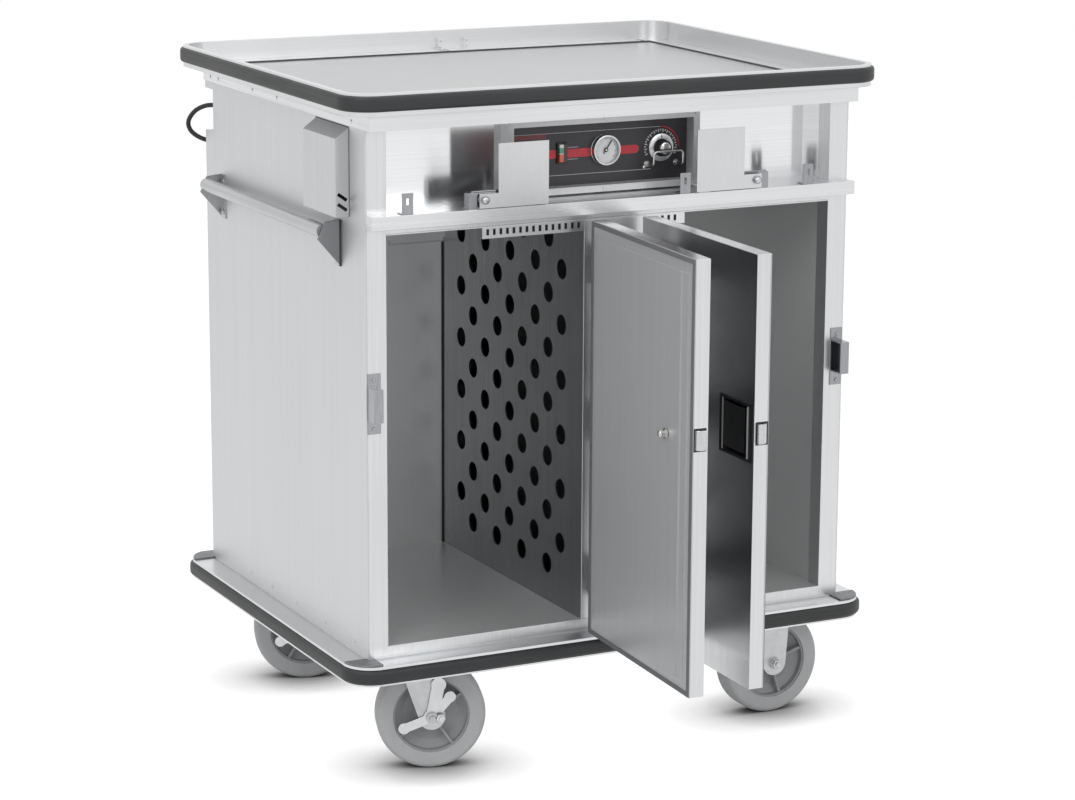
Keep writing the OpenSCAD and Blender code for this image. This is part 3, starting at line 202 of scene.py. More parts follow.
finishes = {
    # Stainless sheet brushed upright: a soft bright sheen with fine streaks.
    "brushedUpright": {"light": "#DBDCDD", "dark": "#D0D1D2", "rough": (0.26, 0.38), "grain": "z",
                       "length": 420, "pitch": 3.4, "bump": 0.07},
    # The same sheet brushed level, for bands, ledge and sill.
    "brushedLevel": {"light": "#DFE0E1", "dark": "#D3D4D6", "rough": (0.24, 0.36), "grain": "xy",
                     "length": 420, "pitch": 2.6, "bump": 0.12},
    # Side sheets, duller: an even pale grey with hardly any reflection.
    "satinSide": {"light": "#D4D5D6", "dark": "#D0D1D2", "rough": (0.48, 0.54), "grain": "z",
                  "length": 600, "pitch": 5.0, "cloud": 420, "bump": 0.02},
    # Bright bay wall, brushed level: its reflections smear up and down in bands.
    "mirrorSheet": {"light": "#E9EAEB", "dark": "#DFE0E1", "rough": (0.12, 0.17), "grain": "xy",
                    "length": 300, "pitch": 2.0, "bump": 0.03, "blur": (0, 0, 1)},
    # Door inner sheets: light grey satin with faint reflections.
    "doorInner": {"light": "#CBCCCD", "dark": "#C3C4C5", "metal": 0.4, "rough": (0.30, 0.38),
                  "grain": "z", "length": 500, "pitch": 4.0, "cloud": 380, "bump": 0.02},
    # Door outer sheets: a bright brush that mirrors its surroundings.
    "doorOuter": {"light": "#D6D7D8", "dark": "#CBCCCE", "rough": (0.16, 0.24), "grain": "z",
                  "length": 500, "pitch": 3.4, "bump": 0.04},
    # Inner lining: bright rolled sheet that passes the front's light back.
    "dullLiner": {"light": "#EAEBEB", "dark": "#E4E5E5", "metal": 0.6, "rough": (0.32, 0.36),
                  "grain": "z", "length": 300, "pitch": 4.0, "bump": 0.01},
    # Punched divider skins: the same sheet, painted darker as shade.
    "dividerSheet": {"light": "#909193", "dark": "#828385", "rough": (0.26, 0.36), "grain": "z",
                     "length": 300, "pitch": 4.0, "bump": 0.05},
    # Rim and deck: the deck below the rim's flange is a darker grey.
    "deckSheet": {"light": "#DADBDC", "dark": "#D1D2D3", "rough": (0.30, 0.40), "grain": "x",
                  "length": 500, "pitch": 4.0, "bump": 0.03,
                  "beyond": ("Z", place(deckLow)[2] + 2.5 * mm), "short": "#B9BABB"},
    # Drawn tube of the handle, brushed lengthwise, with its front plate painted darker as shade.
    "drawnAluminium": {"light": "#BFC0C2", "dark": "#B0B1B3", "rough": (0.26, 0.36), "grain": "y",
                       "length": 260, "pitch": 2.2, "bump": 0.10,
                       "beyond": ("Y", place(handleLow)[1] + 3.4 * mm), "short": "#8E9092"},
    # Hood sheet: a satin painted a darker grey than the side as shade, with soft blurred reflections.
    "hoodSheet": {"light": "#C8C9CA", "dark": "#C1C2C3", "rough": (0.34, 0.42), "grain": "z",
                  "length": 300, "pitch": 4.0, "bump": 0.02},
    # Zinc plate of the caster forks, painted darker than the brakes as shade.
    "forkZinc": {"light": "#C6C7C9", "dark": "#B7B8BA", "rough": (0.30, 0.40), "pitch": 16.0,
                 "cloud": 70, "bump": 0.04},
    # Flap plates, brushed upright.
    "flapSheet": {"light": "#D2D3D4", "dark": "#C9CACB", "rough": (0.32, 0.40), "grain": "z",
                  "length": 60, "pitch": 1.4, "cloud": 60, "bump": 0.05},
    # Zinc plate on pressed steel: pale, slightly blotchy, soft gloss.
    "zincPlate": {"light": "#D6D7D8", "dark": "#C6C7C9", "rough": (0.26, 0.36), "pitch": 14.0,
                  "cloud": 60, "bump": 0.04},
    # Nickel plate on small hardware and wire: clear bright reflections.
    "nickelPlate": {"light": "#CDCCCA", "dark": "#B9B8B6", "rough": (0.12, 0.20), "pitch": 6.0,
                    "bump": 0.04},
    # Bare stamped steel of brackets, eyes and strikes: a glossier grey, painted darker to stand in for dark
    # reflections.
    "stampedSteel": {"light": "#A6A7AA", "dark": "#929397", "rough": (0.16, 0.26), "grain": "z",
                     "length": 40, "pitch": 2.0, "bump": 0.06},
    # Cast latch bolts: neutral satin silver.
    "castSilver": {"light": "#CBCCCE", "dark": "#BFC0C2", "rough": (0.22, 0.30), "pitch": 6.0,
                   "cloud": 30, "bump": 0.03},
    # Plain pale trim that stays light where it only sees shade.
    "paleTrim": {"light": "#D8D9DA", "dark": "#CDCECF", "metal": 0.35, "rough": (0.28, 0.36),
                 "grain": "z", "length": 60, "pitch": 2.0, "bump": 0.03},
    # Dark galvanised corner plates: flat mid grey.
    "greyPlate": {"light": "#8A8C8E", "dark": "#77797B", "rough": (0.42, 0.55), "pitch": 8.0,
                  "cloud": 60, "bump": 0.10},
    # Vinyl bumper: matt charcoal with a faint lengthwise drag.
    "vinylBumper": {"light": "#353637", "dark": "#2A2B2D", "metal": 0.0, "rough": (0.42, 0.55),
                    "grain": "xy", "length": 120, "pitch": 2.4, "bump": 0.16, "specular": 0.45},
    # Moulded ABS: deep black with a fine spark texture. Also painted shade: the dark plates behind the
    # grilles and the sheet in the duct.
    "blackMouldedAndShade": {"light": "#1E1F21", "dark": "#161719", "metal": 0.0, "rough": (0.34, 0.46),
                     "pitch": 1.2, "cloud": 30, "bump": 0.20},
    # Printed control plate: warm charcoal, satin.
    "printedPlate": {"light": "#37343A", "dark": "#2D2B30", "metal": 0.0, "rough": (0.30, 0.38),
                     "pitch": 2.4, "cloud": 70, "bump": 0.04},
    # Prints: the stripe, the short band and the lines, flat and clean.
    "redPrint": printed("#CE3A46", "#C2333F", (0.34, 0.42), 3.0),
    "dullRedPrint": printed("#7E3A3E", "#733438", (0.36, 0.44), 3.0),
    "greyPrint": printed("#C9C9CC", "#BDBDC0", (0.40, 0.50), 3.0),
    # White enamel of the dial face.
    "dialEnamel": {"light": "#F0F1F2", "dark": "#E6E7E9", "metal": 0.0, "rough": (0.30, 0.38),
                   "pitch": 4.0, "bump": 0.02},
    # Prints of the dial's marks and the knob's.
    "dialPrint": printed("#8C8E91", "#808285", (0.40, 0.50), 2.0),
    "blackPrint": printed("#3C3D40", "#343538", (0.40, 0.50), 2.0),
    # Door seal: soft mid grey rubber.
    "sealRubber": {"light": "#77797C", "dark": "#696B6E", "metal": 0.0, "rough": (0.60, 0.74),
                   "pitch": 2.0, "bump": 0.20},
    # Moulded polyolefin hub: mid grey, soft sheen.
    "hubPlastic": {"light": "#AAACAE", "dark": "#9EA0A2", "metal": 0.0, "rough": (0.42, 0.54),
                   "pitch": 2.0, "cloud": 50, "bump": 0.16},
    # Non-marking tread rubber: pale grey, matt, faintly scuffed.
    "treadRubber": {"light": "#C9CACB", "dark": "#BCBDBE", "metal": 0.0, "rough": (0.58, 0.72),
                    "pitch": 2.4, "cloud": 30, "bump": 0.22},
    # Rubber cord jacket.
    "cordRubber": {"light": "#222325", "dark": "#191A1C", "metal": 0.0, "rough": (0.44, 0.56),
                   "pitch": 1.5, "bump": 0.14},
    # Brass plug blades.
    "brassPin": {"light": "#CDB26A", "dark": "#BBA058", "rough": (0.20, 0.30), "pitch": 3.0,
                 "bump": 0.05},
    # Dark joint line of sealant, and painted shade in the shadow gaps at the side, the rails and the deck.
    "darkJointAndShade": {"light": "#3A3B3C", "dark": "#2E2F30", "metal": 0.0, "rough": (0.55, 0.68),
                    "pitch": 2.0, "bump": 0.10},
}
made = {name: finish(name, look) for name, look in finishes.items()}


def paint(piece, finishName):
    piece.data.materials.clear()
    piece.data.materials.append(made[finishName])


# A mesh object from a grid of points: neighbours in rows and columns are joined by
# quads, coincident points are merged, and faces are turned to point outwards.
def surface(name, points, closedU=False, closedV=False, angle=40):
    rows, columns = points.shape[:2]
    index = np.arange(rows * columns).reshape(rows, columns)
    index = np.vstack([index, index[:1]]) if closedU else index
    index = np.hstack([index, index[:, :1]]) if closedV else index
    quads = np.stack([index[:-1, :-1], index[1:, :-1], index[1:, 1:], index[:-1, 1:]], -1).reshape(-1, 4)
    mesh = bpy.data.meshes.new(name)
    mesh.from_pydata(points.reshape(-1, 3).tolist(), [], quads.tolist())
    return finishMesh(name, mesh, angle)


# Merges coincident points, turns the faces outwards or dissolves flat edges, and
# shades smooth below the angle.
def finishMesh(name, mesh, angle=40, merge=2e-6, dissolve=False):
    work = bmesh.new()
    work.from_mesh(mesh)
    bmesh.ops.remove_doubles(work, verts=work.verts, dist=merge)
    if dissolve:
        bmesh.ops.dissolve_limit(work, angle_limit=math.radians(1), verts=work.verts, edges=work.edges)
    else:
        bmesh.ops.recalc_face_normals(work, faces=work.faces)
    work.to_mesh(mesh)
    work.free()
    mesh.shade_smooth()
    mesh.set_sharp_from_angle(angle=math.radians(angle))
    piece = bpy.data.objects.new(name, mesh)
    bpy.context.collection.objects.link(piece)
    return piece


# A turned shape: each (radius, height) of the profile runs round the axis. The
# radius may be scaled by a function of the angle.
def turned(name, profile, centre, sides, axis=(0, 1, 0), wave=None, angle=40):
    profile = np.asarray(profile, float)
    around = np.linspace(0, 2 * math.pi, sides, endpoint=False)
    axis = np.asarray(axis, float) / np.linalg.norm(axis)
    first = np.cross(axis, [0, 0, 1] if abs(axis[2]) < 0.9 else [1, 0, 0])
    first /= np.linalg.norm(first)
    second = np.cross(axis, first)
    out = np.cos(around)[:, None] * first + np.sin(around)[:, None] * second
    swell = np.ones((sides, len(profile))) if wave is None else wave(around[:, None], profile[None, :, 1])
    grid = (np.asarray(centre, float) + out[:, None, :] * (profile[:, 0] * swell)[..., None]
            + axis * profile[:, 1][None, :, None])
    return surface(name, place(grid), closedU=True, angle=angle)


# A flat-lying path swept with a round section: each ring stands square to the
# path's heading, with the plane's normal as its second direction.
def sweptWire(name, path, radius, normal, sides=12):
    path = np.asarray(path, float)
    heading = np.gradient(path, axis=0)
    heading /= np.linalg.norm(heading, axis=1, keepdims=True)
    normal = np.asarray(normal, float)
    side = np.cross(heading, normal)
    side /= np.linalg.norm(side, axis=1, keepdims=True)
    around = np.linspace(0, 2 * math.pi, sides, endpoint=False)
    ring = np.cos(around)[None, :, None] * side[:, None, :] + np.sin(around)[None, :, None] * normal
    radii = np.broadcast_to(np.asarray(radius, float), len(path))[:, None, None]
    grid = path[:, None, :] + ring * radii
    ends = [np.repeat(path[:1, None, :], sides, 1), np.repeat(path[-1:, None, :], sides, 1)]
    return surface(name, place(np.concatenate([ends[0], grid, ends[1]])), closedV=True)


# The corners of an oblong, from its low and its high one.
def oblong(low, high):
    return [(low[0], low[1]), (high[0], low[1]), (high[0], high[1]), (low[0], high[1])]


# Four bars between an outer oblong and the opening in it.
def frameBars(outerLow, outerHigh, low, high):
    return [oblong(outerLow, (outerHigh[0], low[1])), oblong((outerLow[0], high[1]), outerHigh),
            oblong((outerLow[0], low[1]), (low[0], high[1])),
            oblong((high[0], low[1]), (outerHigh[0], high[1]))]


# A closed prism over an outline in a plane: the outline runs along u and v from the
# origin, and the prism is thick along their cross product.
def plateShape(outline, origin, u, v, thick):
    outline = np.asarray(outline, float)
    u, v, origin = (np.asarray(a, float) for a in (u, v, origin))
    flat = origin + outline[:, :1] * u + outline[:, 1:] * v
    lift = np.cross(u, v) * thick
    n = len(flat)
    sides = [(i, (i + 1) % n, n + (i + 1) % n, n + i) for i in range(n)]
    faces = [tuple(range(n))[::-1], tuple(range(n, 2 * n)), *sides]
    return np.vstack([flat, flat + lift]), faces


# Prisms that stand on a front-facing plane: u runs right, v runs up, and the
# thickness comes forward.
def onFront(outline, x, y, z, thick):
    return plateShape(outline, (x, y, z), (1, 0, 0), (0, 0, 1), thick)


# A closed box between two corners, in mm.
def block(low, high):
    return plateShape(oblong(low, high), (0, 0, low[2]), (1, 0, 0), (0, 1, 0), high[2] - low[2])


# Joins several prisms in one mesh object.
def prisms(name, shapes):
    points, faces, start = [], [], 0
    for some, corners in shapes:
        points.append(some)
        faces.extend([tuple(start + c for c in face) for face in corners])
        start += len(some)
    mesh = bpy.data.meshes.new(name)
    mesh.from_pydata(place(np.vstack(points)).tolist(), [], faces)
    return finishMesh(name, mesh, 30)


def settle(piece, finishName, slot, body="cabinet", *nodes):
    paint(piece, finishName)
    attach(piece, body)
    if nodes:
        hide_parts(*nodes)
    return piece


nodeSlots = {row["node"]: row["material_slot"] for row in frame["record"]["subparts"]}


# A merged copy of a CAD node with a small rounded edge, which stands in for it.
def rounded(node, width, finishName, angle=35):
    source = frame["nodes"][node]
    mesh = source.data.copy()
    mesh.name = node + "_edged"
    piece = finishMesh(node + "_edged", mesh, angle, 1e-5, True)
    edge = piece.modifiers.new("edge", "BEVEL")
    edge.width = width * mm
    edge.segments = 2
    edge.limit_method = "ANGLE"
    edge.angle_limit = math.radians(angle)
    edge.harden_normals = True
    edge.use_clamp_overlap = True
    settle(piece, finishName, nodeSlots[node], source["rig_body"], node)


# A round tube along a line in metres.
def tube(name, line, radius):
    curve = bpy.data.curves.new(name, "CURVE")
    curve.dimensions = "3D"
    curve.bevel_depth = radius * mm
    curve.bevel_resolution = 4
    curve.use_fill_caps = True
    spline = curve.splines.new("POLY")
    spline.points.add(len(line) - 1)
    spline.points.foreach_set("co", np.hstack([line, np.ones((len(line), 1))]).ravel())
    spline.use_smooth = True
    piece = bpy.data.objects.new(name, curve)
    bpy.context.collection.objects.link(piece)
    return piece


# The route is measured in mm from the cabinet's left side, its back and the ledge.
cord = {
    "diameter": 9.0,
    "origin": (-halfWidth, depth, ledgeTop),
    "exit": (25, -29, 98),
    "route": [
        (25, -29, 98), (25, -24.5, 98), (25, -20, 98), (22, -8, 98), (8, 14, 96), (-8, 30, 86),
        (-18, 40, 70), (-20, 43, 56), (-14, 40, 42), (0, 32, 31), (22, 24, 22), (46, 15, 8),
        (59, 8, -25), (62, 5.5, -70), (62, 5.5, -150), (62, 5.5, -230), (62, 5.5, -274),
    ],
    "coilCentre": (131, 5.5, -283),
    "coilRadius": 69.0,
    "rings": 24,  # points a turn
    "coilStep": 10.7,
    "inTurns": 3.0,
    "climbTurns": 0.5,
    "turns": 7.0,
    "tail": 78.0,
    "length": 3.0,  # metres
}


# A smooth curve through the points: each stretch is a cubic that leaves and enters
# a point along the line between that point's neighbours.
def smoothRoute(points, steps):
    p = np.asarray(points, float)
    before = np.vstack([p[:1], p[:-2]])
    after = np.vstack([p[2:], p[-1:]])
    t = np.arange(steps)[None, :, None] / steps
    a, b, c, d = before[:, None], p[:-1, None], p[1:, None], after[:, None]
    curve = 0.5 * (2 * b + (c - a) * t + (2 * a - 5 * b + 4 * c - d) * t ** 2
                   + (3 * b - a - 3 * c + d) * t ** 3)
    return np.vstack([curve.reshape(-1, 3), p[-1:]])


# The wound part: the radius shrinks a step a turn, holds for half a turn while the
# line climbs one layer, and grows again.
def coilLine(c):
    t = np.linspace(0, c["turns"], int(c["turns"] * c["rings"]) + 1)
    rise = np.clip((t - c["inTurns"]) / c["climbTurns"], 0, 1)
    shrink = np.where(t < c["inTurns"], t, np.minimum(c["inTurns"], 2 * c["inTurns"] + c["climbTurns"] - t))
    radius = c["coilRadius"] - c["coilStep"] * shrink
    turn = 2 * math.pi * t
    return np.asarray(c["coilCentre"]) + np.stack(
        [-radius * np.cos(turn), rise * c["coilStep"], -radius * np.sin(turn)], -1)


def makeCord(c):
    wound = coilLine(c)
    tail = wound[-1] - np.array([0.25, 0.5, 0.75, 1.0])[:, None] * np.array([0, 0, c["tail"]])
    line = place(np.vstack([smoothRoute(c["route"], 3), wound, tail]) + np.asarray(c["origin"]))
    print("cord length", round(float(np.linalg.norm(np.diff(line, axis=0), axis=1).sum()), 4))
    return tube("powerCord", line, c["diameter"] / 2), line


cordPiece, cordLine = makeCord(cord)
settle(cordPiece, "cordRubber", "cord_black", "cabinet", "power_cord", "cord_coil")

plug = {
    "profile": [(0, 0), (5.2, 0), (6.4, -1), (6.8, -6), (6.2, -8), (7.2, -10), (6.8, -14), (7.6, -17),
                (8.6, -22), (11.0, -28), (11.4, -33), (10.9, -36), (11.6, -39), (11.2, -42), (12.0, -46),
                (12.6, -50), (14.4, -53.5), (14.9, -55), (14.9, -57), (14.2, -58), (0, -58)],
    "flat": (-26, 0.86),  # where the flattened grip starts, and its thickness over its width
    "blade": oblong((-0.8, -7), (0.8, -1)),
    "bladeX": 6.5,
    "bladeTip": 76.0,
    "bladeLong": 18.5,
    "pin": [(0, -57.5), (2.4, -57.5), (2.4, -76), (1.6, -78.4), (0, -79)],
    "pinY": 6.0,
}


def makePlug(p):
    end = measure(cordLine[-1])
    start, thin = p["flat"]

    def flatten(around, height):
        return np.where(height < start, 1 - (1 - thin) * np.cos(around) ** 4, 1.0)

    body = turned("plugBody", p["profile"], end, 40, (0, 0, 1), flatten)
    settle(body, "blackMouldedAndShade", "black_plastic", "cabinet", "power_plug")
    blades = [plateShape(p["blade"], end + np.array([x, 0, -p["bladeTip"]]), (1, 0, 0), (0, 1, 0),
                         p["bladeLong"]) for x in (-p["bladeX"], p["bladeX"])]
    blade = settle(prisms("plugBlades", blades), "brassPin", "chromed_steel")
    pin = turned("plugPin", p["pin"], end + np.array([0, p["pinY"], 0]), 20, (0, 0, 1))
    return [body, blade, settle(pin, "brassPin", "chromed_steel")]


plugPieces = makePlug(plug)

relief = {"flange": 11.0, "root": 7.6, "tip": 5.3, "length": 34.0, "back": 8.0, "rings": 6,
          "groove": 0.55, "crest": 0.55, "ringed": (0.12, 0.92)}


# Tapered strain relief: a ring-grooved sleeve that follows the cord out of its
# flange. The radius falls in a straight line and dips at each groove.
def makeRelief(c, r):
    first = np.asarray(c["origin"]) + np.asarray(c["exit"])
    line = measure(cordLine)
    reach = np.concatenate([[0], np.cumsum(np.linalg.norm(np.diff(line, axis=0), axis=1))])
    along = np.linspace(-r["back"], r["length"] - r["back"], 61)
    centre = np.stack([np.interp(along, reach, line[:, k]) for k in range(3)], -1)
    centre[along < 0] = first + np.array([0, 1, 0]) * along[along < 0][:, None]
    share = (along + r["back"]) / r["length"]
    ringed = (share > r["ringed"][0]) * (share < r["ringed"][1])
    radius = r["root"] + (r["tip"] - r["root"]) * share
    radius -= r["groove"] * (np.cos(share * r["rings"] * 2 * math.pi) > r["crest"]) * ringed
    sleeve = sweptWire("cordRelief", centre, radius, (0, 0, 1), 24)
    settle(sleeve, "blackMouldedAndShade", "black_plastic", "cabinet", "cord_gland")
    edge = [(0, -12), (r["flange"], -12), (r["flange"], -9), (r["flange"] - 1, -8), (0, -8)]
    settle(turned("cordCollar", edge, first, 32), "blackMouldedAndShade", "black_plastic")


makeRelief(cord, relief)
print("cord made")


bumpers = {
    "cornerIn": 10.0,  # centre of the rounded corner, inside the cabinet's corner
    "square": 0.42,  # how square the face is: 1 is round, 0 is flat
    "rows": [("lowerBumper", "base_bumper", 30.0), ("upperBumper", "top_bumper", 46.0)],  # and the seat
}


# Carries a closed profile round the cabinet: each point is out from the corner
# centres and up, and the direction turns through each corner.
def aroundCabinet(name, profile, angle=40, steps=16):
    profile = np.asarray(profile, float)
    cornerIn = bumpers["cornerIn"]
    quarter = np.linspace(0, math.pi / 2, steps)
    turn = np.concatenate([quarter + k * math.pi / 2 for k in range(4)])
    signs = np.array([(1, 1), (-1, 1), (-1, -1), (1, -1)]).repeat(steps, 0)
    middle = np.array([0, depth / 2])
    corner = middle + signs * np.array([halfWidth - cornerIn, depth / 2 - cornerIn])
    out = np.stack([np.cos(turn), np.sin(turn)], -1)
    flat = corner[:, None, :] + out[:, None, :] * profile[None, :, :1]
    high = np.broadcast_to(profile[None, :, 1:], (len(turn), len(profile), 1))
    return surface(name, place(np.concatenate([flat, high], -1)), closedU=True, closedV=True, angle=angle)


def makeBumpers(b):
    turn = np.linspace(-math.pi / 2, math.pi / 2, 25)
    for name, node, seat in b["rows"]:
        low, high = ownBox(node)
        middle, half = (low[2] + high[2]) / 2, (high[2] - low[2]) / 2
        reach = high[0] - halfWidth + b["cornerIn"] - seat
        out = seat + reach * np.abs(np.cos(turn)) ** b["square"]
        up = middle + half * np.sign(np.sin(turn)) * np.abs(np.sin(turn)) ** b["square"]
        piece = aroundCabinet(name, np.stack([out, up], -1))
        settle(piece, "vinylBumper", "black_bumper", "cabinet", node)


makeBumpers(bumpers)
print("bumpers made")


# A control's middle across and up, and half its width.
def controlSpot(node):
    low, high = ownBox(node)
    middle = (low + high) / 2
    return middle[0], middle[2], high[0] - middle[0]


plateFront = ownBox("control_plate")[1][1] - sheet  # the plate's face
gaugeX, gaugeZ, gaugeR = controlSpot("gauge_case")
knobX, knobZ, knobR = controlSpot("thermostat_knob")
rockerX, rockerZ = controlSpot("power_rocker")[:2]

dial = {
    "out": 14.0,
    "lip": 4.0,
    "face": 5.6,
    "print": 0.12,
    "ticks": 41,
    "sweep": (-130, 130),
    "longTick": (3.4, 1.1),  # length, and half the width in degrees
    "shortTick": (1.9, 0.6),
}


# Points of a flat ring stretch from one angle to another, in degrees from upright.
def ringOutline(inner, outer, start, stop, steps=24):
    turn = np.radians(np.linspace(start, stop, steps))
    there = np.stack([np.sin(turn), np.cos(turn)], -1)
    return np.vstack([there * outer, there[::-1] * inner])


def makeGauge(d):
    centre = (gaugeX, plateFront, gaugeZ)
    out, face, inner = d["out"], d["face"], gaugeR - d["lip"]
    case = [(0, 0.4 - face), (inner, 0.4 - face), (inner, 1.4 - out), (inner + 0.5, 0.3 - out),
            (gaugeR - 1.6, -out), (gaugeR - 0.5, 0.5 - out), (gaugeR, 1.6 - out), (gaugeR, -3.4),
            (gaugeR - 0.7, -3.0), (gaugeR - 0.7, -2.2), (gaugeR, -1.8), (gaugeR, 0), (0, 0)]
    settle(turned("gaugeCase", case, centre, 72), "castSilver", "chromed_steel", "cabinet",
           "gauge_case")
    disc = [(0, 0.3 - face), (inner - 0.2, 0.3 - face), (inner - 0.2, -face), (0, -face)]
    settle(turned("gaugeFace", disc, centre, 64), "dialEnamel", "white_enamel")
    low, high = d["sweep"]
    rim = inner - 2.2  # where the marks end
    marks = []
    for k, turn in enumerate(np.linspace(low, high, d["ticks"])):
        long, width = d["shortTick"] if k % 5 else d["longTick"]
        marks.append(ringOutline(rim - long, rim, turn - width, turn + width, 2))
    marks.append(ringOutline(rim, rim + 0.5, low, high, 48))
    marks = [onFront(mark, gaugeX, plateFront - face, gaugeZ, d["print"]) for mark in marks]
    settle(prisms("gaugeMarks", marks), "dialPrint", "black_plastic")
    hub = [(0, -9.4), (1.9, -9.2), (2.3, -8.6), (2.3, -face), (0, -face)]
    settle(turned("gaugeHub", hub, centre, 24), "nickelPlate", "chromed_steel")


makeGauge(dial)

knob = {"out": 20.0, "skirt": 4.0, "grip": 0.60, "flutes": 18, "ripple": 0.045}


# Thermostat knob: a bright skirt and a fluted grip whose radius ripples with the
# angle above the skirt.
def makeKnob(k):
    centre, out, low, grip = (knobX, plateFront, knobZ), k["out"], k["skirt"], knobR * k["grip"]
    skirt = [(0, -0.4), (knobR - 0.2, -0.4), (knobR, -1.2), (knobR - 0.6, 0.6 - low),
             (knobR - 2.0, -low), (grip - 1, -0.6 - low), (0, -0.6 - low)]
    settle(turned("knobSkirt", skirt, centre, 64), "zincPlate", "chromed_steel", "knob")
    body = [(0, -low), (grip + 1.0, -low), (grip + 0.6, -1.4 - low), (grip, -2.2 - low),
            (grip - 0.7, 2.6 - out), (grip - 1.4, 1.0 - out), (grip - 2.6, 0.4 - out),
            (grip - 4.0, 0.2 - out), (0, 0.2 - out)]

    def ripple(around, height):
        fluted = (height < -low - 1.5) & (height > -out + 0.5)
        return 1 - k["ripple"] * (0.5 + 0.5 * np.cos(around * k["flutes"])) * fluted

    settle(turned("knobGrip", body, centre, 144, wave=ripple, angle=50), "blackMouldedAndShade",
           "black_plastic", "knob", "thermostat_knob")
    cap = [(0, 0.3 - out), (grip - 4.6, 0.3 - out), (grip - 5.0, -out), (0, -out)]
    settle(turned("knobCap", cap, centre, 48), "nickelPlate", "chromed_steel", "knob")
    mark = oblong((-0.9, grip + 1.5), (0.9, knobR - 2.4))
    settle(prisms("knobMark", [onFront(mark, knobX, plateFront - low + 0.1, knobZ, 0.5)]), "blackPrint",
           "black_plastic", "knob")


makeKnob(knob)

plate = {
    "thin": 0.15,
    "stripe": (-176.0, 84.0, 15.4),  # left end, right end, height
    "band": oblong((-176.0, 1154.5), (-107.0, 1163.0)),
    "arc": (37.2, 39.4, 4, 92, 32),  # inner and outer radius, from and to in degrees, steps
    "line": 0.9,
    "lines": [(-176.0, knobX, 1163.4), (-176.0, knobX - 20, 1086.0),  # from, to and height
              (-64, -42, knobZ + 10.8), (-64, -42, knobZ - 10.8)],
    "ticks": (-112, 112, 27),
    "tick": (28.4, 30.8, 34.0, 2.2),  # long and short inner radius, outer one, half the width in degrees
}


def makePlatePrint(p):
    y, thin = plateFront, p["thin"]
    left, right, tall = p["stripe"]
    r = tall / 2
    turn = np.radians(np.linspace(-90, 90, 16))
    end = np.stack([right - r + r * np.cos(turn), knobZ + r * np.sin(turn)], -1)
    stripe = np.vstack([[(left, knobZ - r)], end, [(left, knobZ + r)]])
    red = [onFront(stripe, 0, y, 0, thin), onFront(ringOutline(*p["arc"]), knobX, y, knobZ, thin)]
    settle(prisms("redStripe", red), "redPrint", "switch_red")
    settle(prisms("shortBand", [onFront(p["band"], 0, y, 0, thin)]), "dullRedPrint", "switch_red")
    w = p["line"] / 2
    lines = [onFront(oblong((x0, z - w), (x1, z + w)), 0, y, 0, thin) for x0, x1, z in p["lines"]]
    long, short, outer, half = p["tick"]
    for k, turn in enumerate(np.linspace(*p["ticks"])):
        mark = ringOutline(short if k % 2 else long, outer, turn - half, turn + half, 3)
        lines.append(onFront(mark, knobX, y, knobZ, thin))
    settle(prisms("printLines", lines), "greyPrint", "white_enamel")


makePlatePrint(plate)

# The guard's ends and heights are measured from the knob's middle.
guard = {"ends": (-29.0, 32.0), "out": 28.0, "low": -29.0, "top": -4.0, "wire": 2.2, "bend": 7.0,
         "foot": [(0, -2.4), (5.4, -2.4), (6.2, -1.6), (6.4, 0), (0, 0)]}


# Wire guard: a bar across the knob with two legs that turn back into the plate.
# The path is drawn straight by straight, and each corner is a quarter circle.
def makeGuard(g):
    x0, x1 = (knobX + end for end in g["ends"])
    y0, y1 = plateFront, plateFront - g["out"]
    z0, z1 = knobZ + g["low"], knobZ + g["top"]
    corners = np.array([(x0, y0, z0), (x0, y1, z0), (x0, y1, z1), (x1, y1, z1), (x1, y1, z0), (x1, y0, z0)])
    path = [corners[0]]
    for before, here, after in zip(corners[:-2], corners[1:-1], corners[2:]):
        back = (before - here) / np.linalg.norm(before - here)
        on = (after - here) / np.linalg.norm(after - here)
        turn = np.radians(np.linspace(0, 90, 8))[:, None]
        centre = here + (back + on) * g["bend"]
        path.extend(centre - g["bend"] * (on * np.cos(turn) + back * np.sin(turn)))
    path.append(corners[-1])
    rod = tube("guardPath", place(np.array(path)), g["wire"])
    mesh = bpy.data.meshes.new_from_object(rod)
    bpy.data.objects.remove(rod)
    settle(finishMesh("knobGuard", mesh, 50), "nickelPlate", "chromed_steel", "cabinet", "panel_fittings")
    for k, x in enumerate((x0, x1)):
        foot = turned("guardFoot%d" % k, g["foot"], (x, plateFront, z0), 24)
        settle(foot, "nickelPlate", "chromed_steel")


makeGuard(guard)


# A plain screw or rivet head, as a low dome that faces the front.
def domeHead(name, spot, radius, height, finishName="nickelPlate"):
    profile = [(0, height), (radius * 0.3, height * 0.98), (radius * 0.62, height * 0.86),
               (radius * 0.88, height * 0.52), (radius, 0), (0, 0)]
    settle(turned(name, profile, spot, 20, (0, -1, 0)), finishName, "chromed_steel")


domeHead("plateScrew", (knobX - 33, plateFront, knobZ - 35), 4.0, 2.0)

rocker = {
    "bezel": 2.5,
    "gap": 0.3,
    "proud": 4.0,
    "tall": 32.0,
    "wide": 15.0,
    "stripRight": 0.5,  # the strip's right edge, from the rocker's middle
    "strip": [(0.0, "#D8553F"), (0.44, "#E2705C"), (0.47, "#E8EAE8"), (0.52, "#4E9A76"),
              (0.80, "#5FA985"), (0.84, "#EEF0EE")],  # part of the height, and colour
    "plain": "#3A1A1D",
}


def makeBezel(r):
    w, h, b = r["wide"] / 2 + r["gap"], r["tall"] / 2 + r["gap"], r["bezel"]
    bars = frameBars((-w - b, -h - b), (w + b, h + b), (-w, -h), (w, h))
    shapes = [onFront(bar, rockerX, plateFront, rockerZ, r["proud"]) for bar in bars]
    settle(prisms("rockerBezel", shapes), "blackMouldedAndShade", "black_plastic")


makeBezel(rocker)


